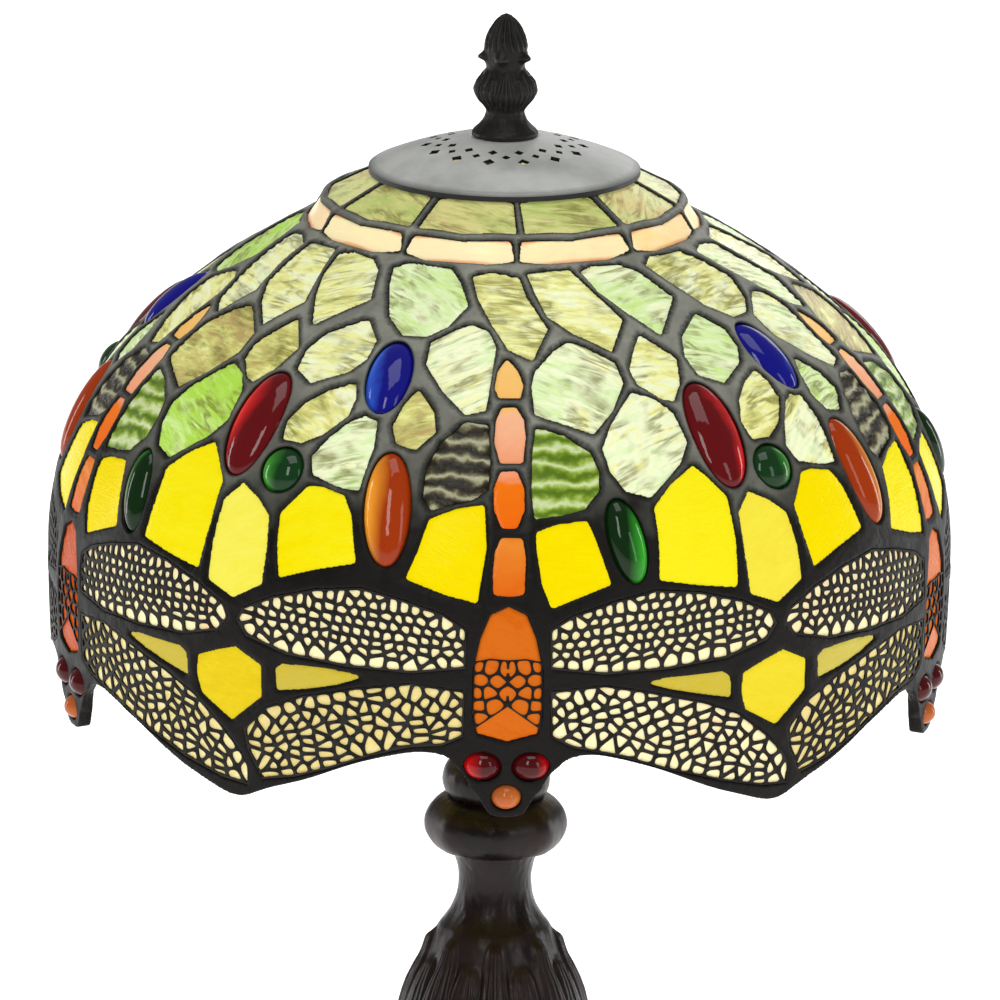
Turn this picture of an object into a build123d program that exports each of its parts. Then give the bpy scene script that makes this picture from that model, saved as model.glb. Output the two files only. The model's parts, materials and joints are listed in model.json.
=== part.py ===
from build123d import *
import math
import os

# Stained glass table lamp.  Millimetres, +Z up, origin at the middle of the foot's underside.
# The shade repeats one panel of its pattern five times around the Z axis.  A place on the shade is
# written (u, s): u is degrees around from the dragonfly's middle, to the right seen from outside,
# and s is millimetres up the outer surface from the datum ring.

# ---- driving dimensions -------------------------------------------------------------------------
repeats = 5
repeat_angle = 360 / repeats

datum_z = 267            # height of the shade's datum ring, where s is 0
skirt_r = 151.5          # widest radius of the shade
skirt_top_s = 30         # where the shade is widest
skirt_curve_r = 600      # radius of the nearly straight skirt
shoulder_curve_r = 99.5
shoulder_turn = 47.5     # degrees that the wall turns over the shoulder
crown_curve_r = 242
band_low_r = 65          # the raised orange band: lower and upper radius, and height
band_high_r = 60.5
band_height = 7.2
top_r = 41               # the wall runs on past the aperture ring and is trimmed to it
top_slope = 8.5 / 16.5
rim_s = -27              # lowest level that the wall is made to, before the rim is cut

glass_t = 3              # sheet glass, from the outer surface inwards
lead_proud = 0.5         # the solder lines stand proud of the glass, outside and inside
filigree_t = 0.6
prism_reach = 14         # how far a cutting prism reaches each side of the outer surface

ring_r = 42.3            # aperture ring
ring_t = 2.5
ring_z = 419.5
ring_h = 4.8

cap_r = 45.5             # heat cap
cap_lip_z = 424.1
cap_top_z = 436.4
cap_t = 1.0
vent_count = 14          # diamond vents in each row
vent_rows = [(19.6, 2.4, 0.5), (22.8, 2.1, 0), (26.2, 2.95, 0.5)]   # radius, side, and turn in pitches

stud_r = 3.1             # finial stud
slide_gap = 0.08         # running clearance on the stud
stud_top_z = 448
seat_bottom_z = 413.5    # the block brazed on the harp
seat_top_z = 419
hub_r = 10               # hub of the spider wheel
hub_z = (420.6, 423.6)
washer_r = 9
finial_z = 436.8         # on the cap
finial_r = 11.2
finial_hole_z = 450

pipe_r = 4.9
pipe_bore_r = 3.2
pipe_z = (4, 233)
weight_nut_z = (4.5, 8)
weight_washer_z = (8, 9)
hole_r = 5.1             # holes that the pipe passes through

foot_r = 80
foot_wall_t = 4
inlet_z = 7              # cord inlet in the rear of the foot
inlet_r = 3.1
foot_bottom_z = 1.5      # thickness of the felt
foot_top_z = 50
stem_top_z = 188
knop_top_z = 207
cup_top_z = 221.5
saddle_z = 224
socket_z = 225.5         # underside of the socket, on the saddle
socket_join_z = 243      # the socket's cap meets its shell
knob_z = 252
knob_shaft_r = 1.8
knob_hole_r = 1.9
harp_leg_y = 27
harp_wire_r = 2
harp_joint_z = 236
ferrule_z = 229
ferrule_h = 12
block_top_z = 261        # floor of the socket, under the bulb
bulb_z = 262             # lowest point of the bulb's contact
bulb_neck_z = 287
base_thread_r = 13.17
screw_shell_r = 13.25


# ---- the shade's outer surface ------------------------------------------------------------------
shoulder_length = shoulder_curve_r * math.radians(shoulder_turn)
shoulder_centre = (skirt_r - shoulder_curve_r, datum_z + skirt_top_s)
crown_centre = (
    shoulder_centre[0] - (crown_curve_r - shoulder_curve_r) * math.cos(math.radians(shoulder_turn)),
    shoulder_centre[1] - (crown_curve_r - shoulder_curve_r) * math.sin(math.radians(shoulder_turn)),
)
crown_end_turn = math.degrees(math.acos((band_low_r - crown_centre[0]) / crown_curve_r))
crown_length = crown_curve_r * math.radians(crown_end_turn - shoulder_turn)
crown_end_z = crown_centre[1] + crown_curve_r * math.sin(math.radians(crown_end_turn))
band_turn = math.degrees(math.atan2(band_low_r - band_high_r, band_height))
band_length = math.hypot(band_low_r - band_high_r, band_height)
band_end_z = crown_end_z + band_height
cone_turn = 90 - math.degrees(math.atan(top_slope))
shoulder_s = skirt_top_s + shoulder_length
crown_s = shoulder_s + crown_length
band_s = crown_s + band_length
top_s = band_s + (band_high_r - top_r) / math.sin(math.radians(cone_turn))


def meridian(s):
    """Radius, height and upward tilt in degrees of the outward normal, at s on the outer surface."""
    if s < skirt_top_s:
        turn = math.degrees((s - skirt_top_s) / skirt_curve_r)
        radius = skirt_r - skirt_curve_r * (1 - math.cos(math.radians(turn)))
        return radius, datum_z + skirt_top_s + skirt_curve_r * math.sin(math.radians(turn)), turn
    if s < shoulder_s:
        centre, curve_r = shoulder_centre, shoulder_curve_r
        turn = math.degrees((s - skirt_top_s) / curve_r)
    elif s < crown_s:
        centre, curve_r = crown_centre, crown_curve_r
        turn = shoulder_turn + math.degrees((s - shoulder_s) / curve_r)
    elif s < band_s:
        along = (s - crown_s) / band_length
        return band_low_r + (band_high_r - band_low_r) * along, crown_end_z + band_height * along, band_turn
    else:
        inward = (s - band_s) * math.sin(math.radians(cone_turn))
        return band_high_r - inward, band_end_z + inward * top_slope, cone_turn
    return (
        centre[0] + curve_r * math.cos(math.radians(turn)),
        centre[1] + curve_r * math.sin(math.radians(turn)),
        turn,
    )


def surface_point(u, s):
    """The point of the outer surface at (u, s).  Panel 0 faces -Y."""
    radius, height, _ = meridian(s)
    angle = math.radians(u)
    return Vector(radius * math.sin(angle), -radius * math.cos(angle), height)


def tangent_plane(u, s):
    """A plane that touches the outer surface at (u, s): x to the right, y up, z outwards."""
    tilt = math.radians(meridian(s)[2])
    angle = math.radians(u)
    out = Vector(math.cos(tilt) * math.sin(angle), -math.cos(tilt) * math.cos(angle), math.sin(tilt))
    return Plane(origin=surface_point(u, s), x_dir=(math.cos(angle), math.sin(angle), 0), z_dir=out)


def wall_profile(lift):
    """Corner points of the wall's meridian, moved outwards by lift."""
    def lifted(s, bend=0.0):
        radius, height, turn = meridian(s)
        turn = math.radians(turn + bend)
        reach = lift / math.cos(math.radians(bend))
        return (radius + reach * math.cos(turn), 0, height + reach * math.sin(turn))

    nudge = 1e-6
    low_bend = (crown_end_turn - band_turn) / 2
    high_bend = (cone_turn - band_turn) / 2
    return [
        lifted(rim_s), lifted((rim_s + skirt_top_s) / 2), lifted(skirt_top_s),
        lifted((skirt_top_s + shoulder_s) / 2), lifted(shoulder_s),
        lifted((shoulder_s + crown_s) / 2), lifted(crown_s + nudge, low_bend),
        lifted(band_s - nudge, high_bend), lifted(top_s),
    ]


def wall(outer_lift, inner_lift):
    """The shade's wall between two offsets of the outer surface, trimmed to the aperture ring."""
    outer = wall_profile(outer_lift)
    inner = wall_profile(inner_lift)
    edges = []
    for points in (outer, inner):
        for start in (0, 2, 4):
            edges.append(ThreePointArc(*points[start:start + 3]))
        edges.append(Line(points[6], points[7]))
        edges.append(Line(points[7], points[8]))
    edges.append(Line(outer[0], inner[0]))
    edges.append(Line(outer[8], inner[8]))
    body = revolve(make_face(edges), Axis.Z)
    return body - Pos(0, 0, ring_z) * Cylinder(ring_r, 60)


def prism(shape, plane, low=-prism_reach, high=prism_reach):
    """A flat shape in a tangent plane, drawn out through the wall."""
    return extrude(plane.offset(low) * shape, amount=high - low)


def flat_outline(outline, plane):
    """An outline of (u, s) points, projected square onto the tangent plane."""
    points = [plane.to_local_coords(surface_point(u, s)) for u, s in outline]
    return make_face(Polyline(*[(p.X, p.Y) for p in points], close=True))


def middle(outline):
    count = len(outline)
    return sum(u for u, _ in outline) / count, sum(s for _, s in outline) / count


def around(shapes):
    """Copies of one panel's pieces for all the panels."""
    return Compound(children=[
        piece.rotate(Axis.Z, repeat_angle * turn)
        for turn in range(repeats) for shape in shapes for piece in shape.solids()
    ])


# ---- the pattern of one panel, as (u, s) outlines -----------------------------------------------
green_outlines = [
    [(5.2, 173), (17, 174.5), (19, 169), (24.5, 149.5), (19.5, 136.5), (13, 145), (8.3, 153), (6.5, 164)],
    [(20, 173), (24, 175.5), (32, 174.5), (36.3, 170), (40, 156), (31, 141), (26, 153), (22, 163)],
    [(40.3, 172), (44, 175.5), (56.5, 174.5), (60, 168), (63, 157.5), (59.5, 147.5), (56, 143),
     (51, 142.5), (46.5, 150), (42.3, 164)],
    [(62.8, 171.5), (68, 173.5), (75, 171), (76.3, 162), (80, 147.5), (76.3, 134), (72, 138.5),
     (68.7, 149), (65, 161)],
    [(57, 140.5), (61, 146), (64.5, 149), (68, 146.5), (69.6, 140), (69, 127), (68.3, 114),
     (65.2, 112), (61, 121), (57.3, 131)],
    [(11.5, 141.5), (14, 139.5), (19.3, 132), (19.6, 123.5), (16.5, 113), (12.6, 104.5), (4, 112.3),
     (3.8, 124), (4.6, 129.5), (8.5, 138)],
    [(26.5, 142.3), (31.5, 131), (29.7, 121), (27.2, 114.5), (25, 116), (22, 122.5), (21.6, 128.5),
     (24, 136.5)],
    [(42.3, 147.5), (46.2, 139), (46, 131), (43.8, 125), (38, 118.5), (34, 123), (33.4, 131),
     (35.3, 139)],
    [(46, 121), (47, 115), (46.8, 108), (44, 100.5), (41, 96.3), (37.8, 96.6), (37.2, 103),
     (38.9, 111), (42, 117)],
    [(57, 121), (60.2, 112.5), (61, 105), (58.4, 98.2), (55.4, 100), (54.3, 106), (55.3, 115)],
    [(47.6, 106.5), (49.6, 108.6), (51.7, 107.5), (52.2, 98), (51.4, 82.5), (48, 83.3), (44.2, 86.3),
     (43.3, 92), (45, 99.5)],
    [(13.6, 99), (15.6, 107.5), (18, 114), (20.5, 119.3), (24, 116.3), (26.2, 110), (26.8, 99),
     (24.8, 92), (22, 86.5), (19.3, 81.5), (16, 84), (14.2, 91)],
]
striped_outlines = [
    [(4, 107.3), (8, 104), (11.5, 98.5), (12.5, 92), (12.3, 85), (10, 78.8), (7, 77), (3.3, 76),
     (3, 85), (3.3, 98)],
    [(65.5, 109.3), (68.8, 108.3), (69.3, 96), (69.1, 85.5), (67, 82), (61.7, 78), (60.4, 82),
     (60.4, 92), (62, 101)],
]
petal_outlines = [
    [(3.5, 71.5), (6, 73.8), (10.2, 75), (11, 70), (12.9, 54), (5.3, 46.8), (4.1, 55), (3.5, 66)],
    [(26.5, 90.6), (28.3, 86), (30.5, 79), (30.5, 64), (29.9, 49.3), (24.5, 51.5), (19.2, 54.3),
     (19.6, 66), (19.6, 78), (22.5, 85)],
    [(44, 82), (46, 82.6), (49.5, 80.5), (51, 74), (52.4, 59), (47, 55.5), (42.2, 51.2), (41.3, 62),
     (40.9, 72)],
    [(61.5, 75), (65, 79), (68.7, 80.5), (69.1, 66), (68.1, 48.5), (64, 51), (59, 55.3), (60.3, 64)],
]
pale_outline = [(34, 79.5), (37, 75.5), (39.3, 70.5), (39.9, 60), (39.9, 48.3), (35.8, 42.3),
                (31.7, 46.5), (31.5, 60), (31.7, 73)]
wedge_outlines = [
    [(17.3, 20.8), (20, 22), (27.5, 22), (28.6, 20), (28.9, 12.8), (24.5, 15.4), (20.5, 18)],
    [(42.3, 21), (43.3, 23), (49, 23.6), (54.3, 22.2), (50.5, 18.3), (46.3, 15.6), (42.5, 13.9)],
]
hexagon_outline = [(36.5, 26), (40.2, 21.3), (40.3, 10.8), (35.8, 0.8), (31, 8), (30.4, 14),
                   (30.5, 20.5), (33.7, 23.7)]
band_outlines = [
    [(3.6, 179.5), (4.4, 186.2), (20, 185.6), (37.3, 186.3), (39, 180.5), (30, 177.6), (12, 177.6)],
    [(40.8, 180.5), (42.4, 186.2), (58, 185.6), (72.8, 186.3), (73.9, 179.5), (66, 177.6), (48, 177.6)],
]
crown_outlines = [
    [(5.8, 189.3), (5.6, 205), (38, 205), (38.6, 189.3), (22, 188.7)],
    [(42.2, 189.3), (42.6, 205), (74.6, 205), (74.8, 189.3), (58, 188.7)],
]
tail_outlines = [
    [(-0.3, 135), (1.6, 129.5), (2.4, 124), (1.8, 118.9), (-1.6, 118.9), (-2.4, 123), (-2, 129.5)],
    [(-1.2, 115), (1.1, 115.2), (2.2, 110.5), (2.4, 104), (1.9, 94.8), (-1.3, 94.8), (-2.2, 102),
     (-2, 110)],
    [(-1.2, 91.8), (1, 92), (2, 86), (2, 79), (1, 73), (-1, 73), (-2, 79), (-2.1, 86)],
    [(-1, 69.8), (1.7, 69.6), (2.1, 63), (1.9, 51.5), (0, 50.9), (-1.9, 51.4), (-2, 58), (-1.8, 65)],
]
thorax_outline = [(0, 47.5), (2.2, 44.8), (3.4, 37), (4.2, 27), (4.3, 12), (3.7, 5), (0, 2.3),
                  (-3.7, 5), (-4.3, 12), (-4.2, 27), (-3.4, 37), (-2.2, 44.8)]
upper_wing_outlines = [
    [(side * u, s) for u, s in (
        (5.2, 27), (5.1, 40), (8, 44.6), (13, 48.5), (18.5, 51.4), (24.5, 49.4), (30.3, 45), (34.6, 39.6),
        (35.4, 35.5), (33.8, 30.5), (28, 26.5), (20, 25), (12, 24.6))]
    for side in (1, -1)
]
lower_wing_outlines = [
    [(5.2, 19.5), (12, 21), (18, 17.6), (25, 12.6), (30, 7.2), (34, -1), (36.8, -8), (38.3, -14),
     (38.2, -20.5), (34, -19.5), (28, -15.5), (20, -9), (14, -3.5), (8, 0.3), (5.4, 4)],
    [(-5.2, 19.5), (-12, 21.2), (-19, 18), (-26, 13.2), (-31, 7.5), (-34.3, -1), (-33.8, -8),
     (-31.8, -17.6), (-27, -14.8), (-22, -10), (-17, -4.5), (-12, -0.5), (-8, 0.6), (-5.4, 4)],
]
# Jewels as (u, s, half width, half height, lean): the lean is in degrees, top to the left.
red_jewel = (32, 101, 9.2, 19.4, 0)
blue_jewel = (51.3, 125, 7.6, 15, 4)
amber_jewel = (55.7, 77.6, 7.9, 18.8, 5)
green_jewel = (15.3, 67.8, 6.2, 14.2, 11)
round_jewel = (39.4, 86.2, 7.7, 7.9, 0)
eye_jewels = [(-3, -6.2, 6.1, 4.9, 0), (3, -6.2, 6.1, 4.9, 0)]
chin_jewel = (0, -16.8, 4.9, 4.3, 0)

# The rim between two heads, from the right side of one head to the left side of the next.
rim_curve = [(6, -14), (5.9, -9), (7, -4.6), (9.3, -2.6), (14, -4.4), (20, -9.8), (27, -17.8), (32, -22.4),
             (36.7, -25), (40, -21.6), (46, -15.7), (52, -8.8), (58, -3.6), (62.5, -2), (65.2, -4.2),
             (66.1, -9), (66, -14)]
chin_curve = [(-6.2, -13.5), (-4.6, -18), (-2.6, -21.9), (0, -23.6), (2.6, -21.9), (4.6, -18),
              (6.2, -13.5)]
below_rim_s = -40


def jewel_shape(jewel):
    u, s, half_width, half_height, lean = jewel
    return tangent_plane(u, s), Rot(0, 0, lean) * Ellipse(half_width, half_height)


def jewel_solid(jewel, crown=3.2):
    """A cabochon: the outer part of an ellipsoid that fills its opening, flat at the back."""
    u, s, half_width, half_height, lean = jewel
    back = 2.5
    plane = tangent_plane(u, s).offset(-back)
    ball = scale(Sphere(1), by=(half_width, half_height, crown + back))
    ball = ball & Pos(0, 0, half_height) * Box(4 * half_width, 4 * half_height, 2 * half_height)
    return plane * Rot(0, 0, lean) * ball


def pane_prism(outline):
    plane = tangent_plane(*middle(outline))
    return prism(flat_outline(outline, plane), plane)


def rim_cutters():
    """What is taken away below the scalloped rim of one panel."""
    plane = tangent_plane(36, 0)
    curve = [plane.to_local_coords(surface_point(u, s)) for u, s in rim_curve]
    low = [plane.to_local_coords(surface_point(u, below_rim_s)) for u in (66, 6)]
    spline = Spline(*[(p.X, p.Y) for p in curve])
    closing = Polyline((curve[-1].X, curve[-1].Y), (low[0].X, low[0].Y), (low[1].X, low[1].Y),
                       (curve[0].X, curve[0].Y))
    between = prism(make_face([spline, *closing.edges()]), plane, -60, 30)
    plane = tangent_plane(0, -15)
    curve = [plane.to_local_coords(surface_point(u, s)) for u, s in chin_curve]
    spline = Spline(*[(p.X, p.Y) for p in curve])
    drop = -below_rim_s
    closing = Polyline((curve[-1].X, curve[-1].Y), (curve[-1].X, -drop), (curve[0].X, -drop),
                       (curve[0].X, curve[0].Y))
    chin = prism(make_face([spline, *closing.edges()]), plane)
    return [between, chin]


def filigree(outline, metal_wall, pitch_x, pitch_y):
    """The pierced metal sheet on one wing: its outline, less the openings that fit inside it."""
    plane = tangent_plane(*middle(outline))
    shape = flat_outline(outline, plane)
    web = 1.4
    openings = []
    for row in range(-4, 5):
        for column in range(-6, 7):
            x = pitch_x * (column + (row % 2) / 2)
            y = pitch_y * row
            corners = [(x + side * pitch_x / 2, y + end * pitch_y / 2) for side in (1, -1) for end in (1, -1)]
            if all(shape.is_inside(corner) for corner in corners):
                cell = Pos(x, y) * Rectangle(pitch_x - web, pitch_y - web)
                openings.append(prism(cell, plane))
    return (metal_wall & prism(shape, plane)) - openings


def shade_glass():
    """Every pane, jewel and filigree sheet of the shade, and the openings that they fill."""
    glass_wall = wall(0, -glass_t)
    groups = {
        "green_field_panes": green_outlines,
        "striped_panes": striped_outlines,
        "yellow_petal_panes": petal_outlines,
        "pale_petal_panes": [pale_outline],
        "wing_wedge_panes": wedge_outlines,
        "hexagon_panes": [hexagon_outline],
        "orange_band_panes": band_outlines,
        "crown_panes": crown_outlines,
        "tail_panes": tail_outlines,
    }
    nodes = {}
    openings = []
    for name, outlines in groups.items():
        prisms = [pane_prism(outline) for outline in outlines]
        openings += prisms
        nodes[name] = around([glass_wall & one for one in prisms])
    metal_wall = wall(filigree_t, 0)
    overlaid = {
        "thorax": ([thorax_outline], 6, 9),
        "upper_wing": (upper_wing_outlines, 11, 7),
        "lower_wing": (lower_wing_outlines, 11, 7),
    }
    for name, (outlines, pitch_x, pitch_y) in overlaid.items():
        prisms = [pane_prism(outline) for outline in outlines]
        openings += prisms
        nodes[name + "_glass"] = around([glass_wall & one for one in prisms])
        nodes[name + "_filigree"] = around(
            [filigree(outline, metal_wall, pitch_x, pitch_y) for outline in outlines]
        )
    jewels = {
        "red_jewels": [red_jewel],
        "blue_jewels": [blue_jewel],
        "amber_jewels": [amber_jewel],
        "green_oval_jewels": [green_jewel],
        "green_round_jewels": [round_jewel],
        "eye_jewels": eye_jewels,
        "chin_jewels": [chin_jewel],
    }
    for name, places in jewels.items():
        for place in places:
            plane, ellipse = jewel_shape(place)
            openings.append(prism(ellipse, plane))
        nodes[name] = around([jewel_solid(place) for place in places])
    return nodes, openings


def solder_lattice(openings):
    """The soldered metal web, one section for each panel, cut between the dragonflies."""
    reach = 2 * skirt_r
    half = math.radians(repeat_angle / 2)
    wedge = make_face(Polyline((0, 0), (-reach * math.sin(half), -reach * math.cos(half)),
                               (reach * math.sin(half), -reach * math.cos(half)), close=True))
    section = wall(lead_proud, -glass_t - lead_proud) & extrude(wedge, amount=600)
    nearby = []
    for turn in (-1, 0, 1):
        for cutter in openings + rim_cutters():
            nearby.append(cutter.rotate(Axis.Z, repeat_angle * turn))
    section = section - nearby
    return around([section])


# ---- shade fittings -----------------------------------------------------------------------------
def turned(points, smooth=()):
    """A body of revolution from (radius, height) corners.  Corners in smooth are passed by an arc."""
    edges = []
    index = 0
    count = len(points)
    places = [(r, 0, z) for r, z in points]
    while index < count:
        if index + 1 in smooth:
            edges.append(ThreePointArc(places[index], places[index + 1], places[(index + 2) % count]))
            index += 2
        else:
            edges.append(Line(places[index], places[(index + 1) % count]))
            index += 1
    return revolve(make_face(edges), Axis.Z)


def tube(outer, inner, low, high):
    body = Pos(0, 0, (low + high) / 2) * Cylinder(outer, high - low)
    return body - Pos(0, 0, (low + high) / 2) * Cylinder(inner, 2 * (high - low))


def spider_wheel():
    hub_t = hub_z[1] - hub_z[0]
    level = Pos(0, 0, sum(hub_z) / 2)
    bore_r = ring_r - ring_t
    arm = level * Pos((hub_r + bore_r) / 2, 0, 0) * Box(bore_r - hub_r + 1, 2 * hub_t, hub_t)
    wheel = level * Cylinder(hub_r, hub_t)
    for angle in (90, 210, 330):
        wheel += Rot(0, 0, angle) * arm
    wheel = wheel & level * Cylinder(bore_r, 2 * hub_t)
    return wheel - level * Cylinder(stud_r + slide_gap, 2 * hub_t)


def heat_cap():
    cap = turned([
        (stud_r + slide_gap, cap_top_z), (12, cap_top_z), (28.5, 432.4), (cap_r - 1.2, 426.6),
        (cap_r, 425.8), (cap_r, cap_lip_z), (cap_r - cap_t, cap_lip_z), (cap_r - cap_t, 425.2),
        (cap_r - 1.8, 425.6), (28, 431.4), (11.6, cap_top_z - cap_t), (stud_r + slide_gap, cap_top_z - cap_t),
    ], smooth=(2, 9))
    vents = []
    for radius, side, phase in vent_rows:
        diamond = Pos(radius, 0, cap_top_z) * Rot(0, 0, 45) * Box(side, side, 2 * (cap_top_z - cap_lip_z))
        for step in range(vent_count):
            vents.append(Rot(0, 0, 360 / vent_count * (step + phase) - 90) * diamond)
    return cap - vents


def finial():
    return turned([
        (stud_r + slide_gap, finial_z), (finial_r, finial_z), (finial_r, finial_z + 1.4), (8.4, 440.6),
        (6.8, 445), (11.3, 452.2), (6.9, 460.8), (8.1, 463.4), (7.4, 468.4), (4.5, 475),
        (0, 478), (0, finial_hole_z), (stud_r + slide_gap, finial_hole_z),
    ], smooth=(3, 5, 8))


# ---- lamp base ----------------------------------------------------------------------------------
def inlet_axis():
    return Pos(0, foot_r - foot_wall_t / 2, inlet_z) * Rot(90, 0, 0)


def foot_casting():
    shell = turned([
        (foot_r, foot_bottom_z), (foot_r, 11), (foot_r - 1.5, 14), (foot_r - 5, 15), (50, 25), (30, 36),
        (20.5, 41), (17.5, foot_top_z), (hole_r, foot_top_z), (hole_r, 15), (11, 15), (11, 42),
        (14, 42), (17.5, 38.5), (27, 32.4), (47, 21.8), (foot_r - 6.4, 11.8),
        (foot_r - foot_wall_t, 10.5), (foot_r - foot_wall_t, foot_bottom_z),
    ], smooth=(2, 4, 6, 13, 15))
    return shell - inlet_axis() * Cylinder(inlet_r + 0.9, 3 * foot_wall_t)


def cord_bushing():
    """A grommet in the foot's rear wall, with the way in for a lead."""
    flange_t = 1.6
    body = inlet_axis() * Cylinder(inlet_r + 0.85, foot_wall_t)
    body += inlet_axis() * Pos(0, 0, -(foot_wall_t + flange_t) / 2) * Cylinder(inlet_r + 2.1, flange_t)
    return body - inlet_axis() * Cylinder(inlet_r, 5 * foot_wall_t)


def foot_weight():
    """An iron disc with a recess below for the washer and nut."""
    disc = tube(56, hole_r, 3, 15)
    recess_h = 7
    return disc - Pos(0, 0, weight_washer_z[1] - recess_h / 2) * Cylinder(12, recess_h)


def hex_nut(low, high, across_flats):
    nut = extrude(Pos(0, 0, low) * RegularPolygon(across_flats / 2, 6, major_radius=False), amount=high - low)
    return nut - Pos(0, 0, low) * Cylinder(pipe_r, 60)


def stem_casting():
    """The hollow cast stem: a leaf-clad bulb over a slim waist, drawn in to the neck."""
    return turned([
        (17.5, foot_top_z), (19, 53), (17.5, 56), (15.3, 64), (19, 82), (27, 100), (33.2, 121),
        (25.8, 149), (18.6, 161.5), (12.5, 175), (14.9, stem_top_z),
        (hole_r, stem_top_z), (hole_r, 183), (9.5, 178), (13, 163), (22.5, 148), (29.5, 121), (23, 100),
        (15.5, 82), (11.8, 64), (13, 56), (hole_r, 53.5), (hole_r, foot_top_z),
    ], smooth=(1, 3, 6, 9, 16, 19))


def knop():
    return turned([
        (15.5, stem_top_z), (20.6, 189.6), (23.9, 197), (16.6, knop_top_z), (hole_r, knop_top_z),
        (hole_r, stem_top_z),
    ], smooth=(2,))


def stem_cup():
    return turned([
        (16.2, knop_top_z), (18.2, 214.5), (12, cup_top_z), (hole_r, cup_top_z), (hole_r, knop_top_z),
    ], smooth=(1,))


# ---- harp ---------------------------------------------------------------------------------------
def harp_saddle():
    strap = Pos(0, 0, (saddle_z + socket_z) / 2) * Box(12, 2 * harp_leg_y + 5, socket_z - saddle_z)
    for side in (1, -1):
        pin_h = harp_joint_z - socket_z
        strap += Pos(0, side * harp_leg_y, socket_z + pin_h / 2) * Cylinder(harp_wire_r, pin_h)
    return strap - Pos(0, 0, saddle_z) * Cylinder(hole_r, 10)


def harp():
    shoulder_y = 51
    half = [(harp_leg_y, harp_joint_z), (harp_leg_y, 262), (shoulder_y, 300), (shoulder_y, 366), (17, 415)]
    route = half + [(-y, z) for y, z in reversed(half)]
    path = FilletPolyline(*[(0, y, z) for y, z in route], radius=[14, 26, 30, 10, 10, 30, 26, 14])
    section = Plane(origin=(0, harp_leg_y, harp_joint_z), z_dir=(0, 0, 1)) * Circle(harp_wire_r)
    return sweep(section, path=path)


def harp_seat():
    """The block brazed over the top of the harp, with the stud that carries the shade."""
    block = Pos(0, 0, (seat_bottom_z + seat_top_z) / 2) * Cylinder(8.5, seat_top_z - seat_bottom_z)
    stud = Pos(0, 0, (seat_top_z + stud_top_z) / 2) * Cylinder(stud_r, stud_top_z - seat_top_z)
    return block + stud - harp()


# ---- socket and bulb ----------------------------------------------------------------------------
def socket_cap():
    return turned([
        (hole_r, socket_z), (9, socket_z), (15.5, 232), (16.8, 240), (16.8, socket_join_z),
        (16, socket_join_z), (16, 240),
        (14.7, 232.6), (8.6, 226.6), (8, 233), (hole_r, 233),
    ], smooth=(2, 7))


def socket_shell():
    shell = turned([
        (16.8, socket_join_z), (17.3, 244), (17.3, 250), (16.6, 282), (17.2, 286), (16.4, 286), (15.8, 282),
        (16.5, 250), (16.5, 244), (16, socket_join_z),
    ])
    return shell - Pos(16.5, 0, knob_z) * Rot(0, 90, 0) * Cylinder(knob_hole_r, 6)


def socket_insulator():
    sleeve = tube(15.7, 15.1, 244, 282)
    return sleeve - Pos(15.5, 0, knob_z) * Rot(0, 90, 0) * Cylinder(knob_hole_r, 6)


def screw_shell():
    return tube(screw_shell_r + 0.5, screw_shell_r, 263, 284)


def socket_block():
    """The moulded switch body under the screw shell."""
    block_r = 14.6
    block = tube(block_r, screw_shell_r + 0.55, block_top_z, block_top_z + 5)
    block += Pos(0, 0, block_top_z - 17 / 2) * Cylinder(block_r, 17)
    return block - Pos(13, 0, knob_z) * Rot(0, 90, 0) * Cylinder(knob_shaft_r + 0.05, 16)


def centre_contact():
    thickness = 0.7
    return Pos(0, 0, block_top_z + thickness / 2) * Box(8, 4, thickness)


def switch_shaft():
    return Pos(17.5, 0, knob_z) * Rot(0, 90, 0) * Cylinder(knob_shaft_r, 22)


def switch_knob():
    grip = Pos(28.5, 0, knob_z) * Rot(0, 90, 0) * Cylinder(4, 7)
    grip += Pos(30, 0, knob_z) * Box(10, 13, 3)
    return grip - Pos(24.5, 0, knob_z) * Rot(0, 90, 0) * Cylinder(knob_shaft_r, 8)


def bulb_glass():
    return turned([
        (12.6, bulb_neck_z), (13.6, 296), (22, 318), (30, 342), (18, 368.5), (0, 372), (0, 371.2),
        (17.5, 367.8),
        (29.2, 342), (21.3, 318.3), (12.9, 296), (11.9, bulb_neck_z),
    ], smooth=(3, 8))


def bulb_base():
    thread = tube(base_thread_r, 12.5, bulb_z + 3.6, bulb_neck_z)
    taper = turned([
        (base_thread_r, bulb_z + 3.6), (12.5, bulb_z + 3.6), (8, bulb_z + 2), (8.6, bulb_z + 1.4),
        (12.6, bulb_z + 2.8),
    ])
    return thread + taper


def bulb_contact():
    return turned([
        (0, bulb_z), (4, bulb_z), (8.6, bulb_z + 1.4), (8, bulb_z + 2), (0, bulb_z + 2),
    ])


def bulb_filament():
    stem = turned([(0, 288), (4.5, 288), (3, 300), (1.6, 325), (0, 325)])
    for side in (1, -1):
        stem += Pos(side * 6, 0, 326) * Rot(0, side * 24, 0) * Cylinder(0.5, 30)
    return stem + Pos(0, 0, 339) * Rot(0, 90, 0) * Cylinder(0.8, 24)


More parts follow.
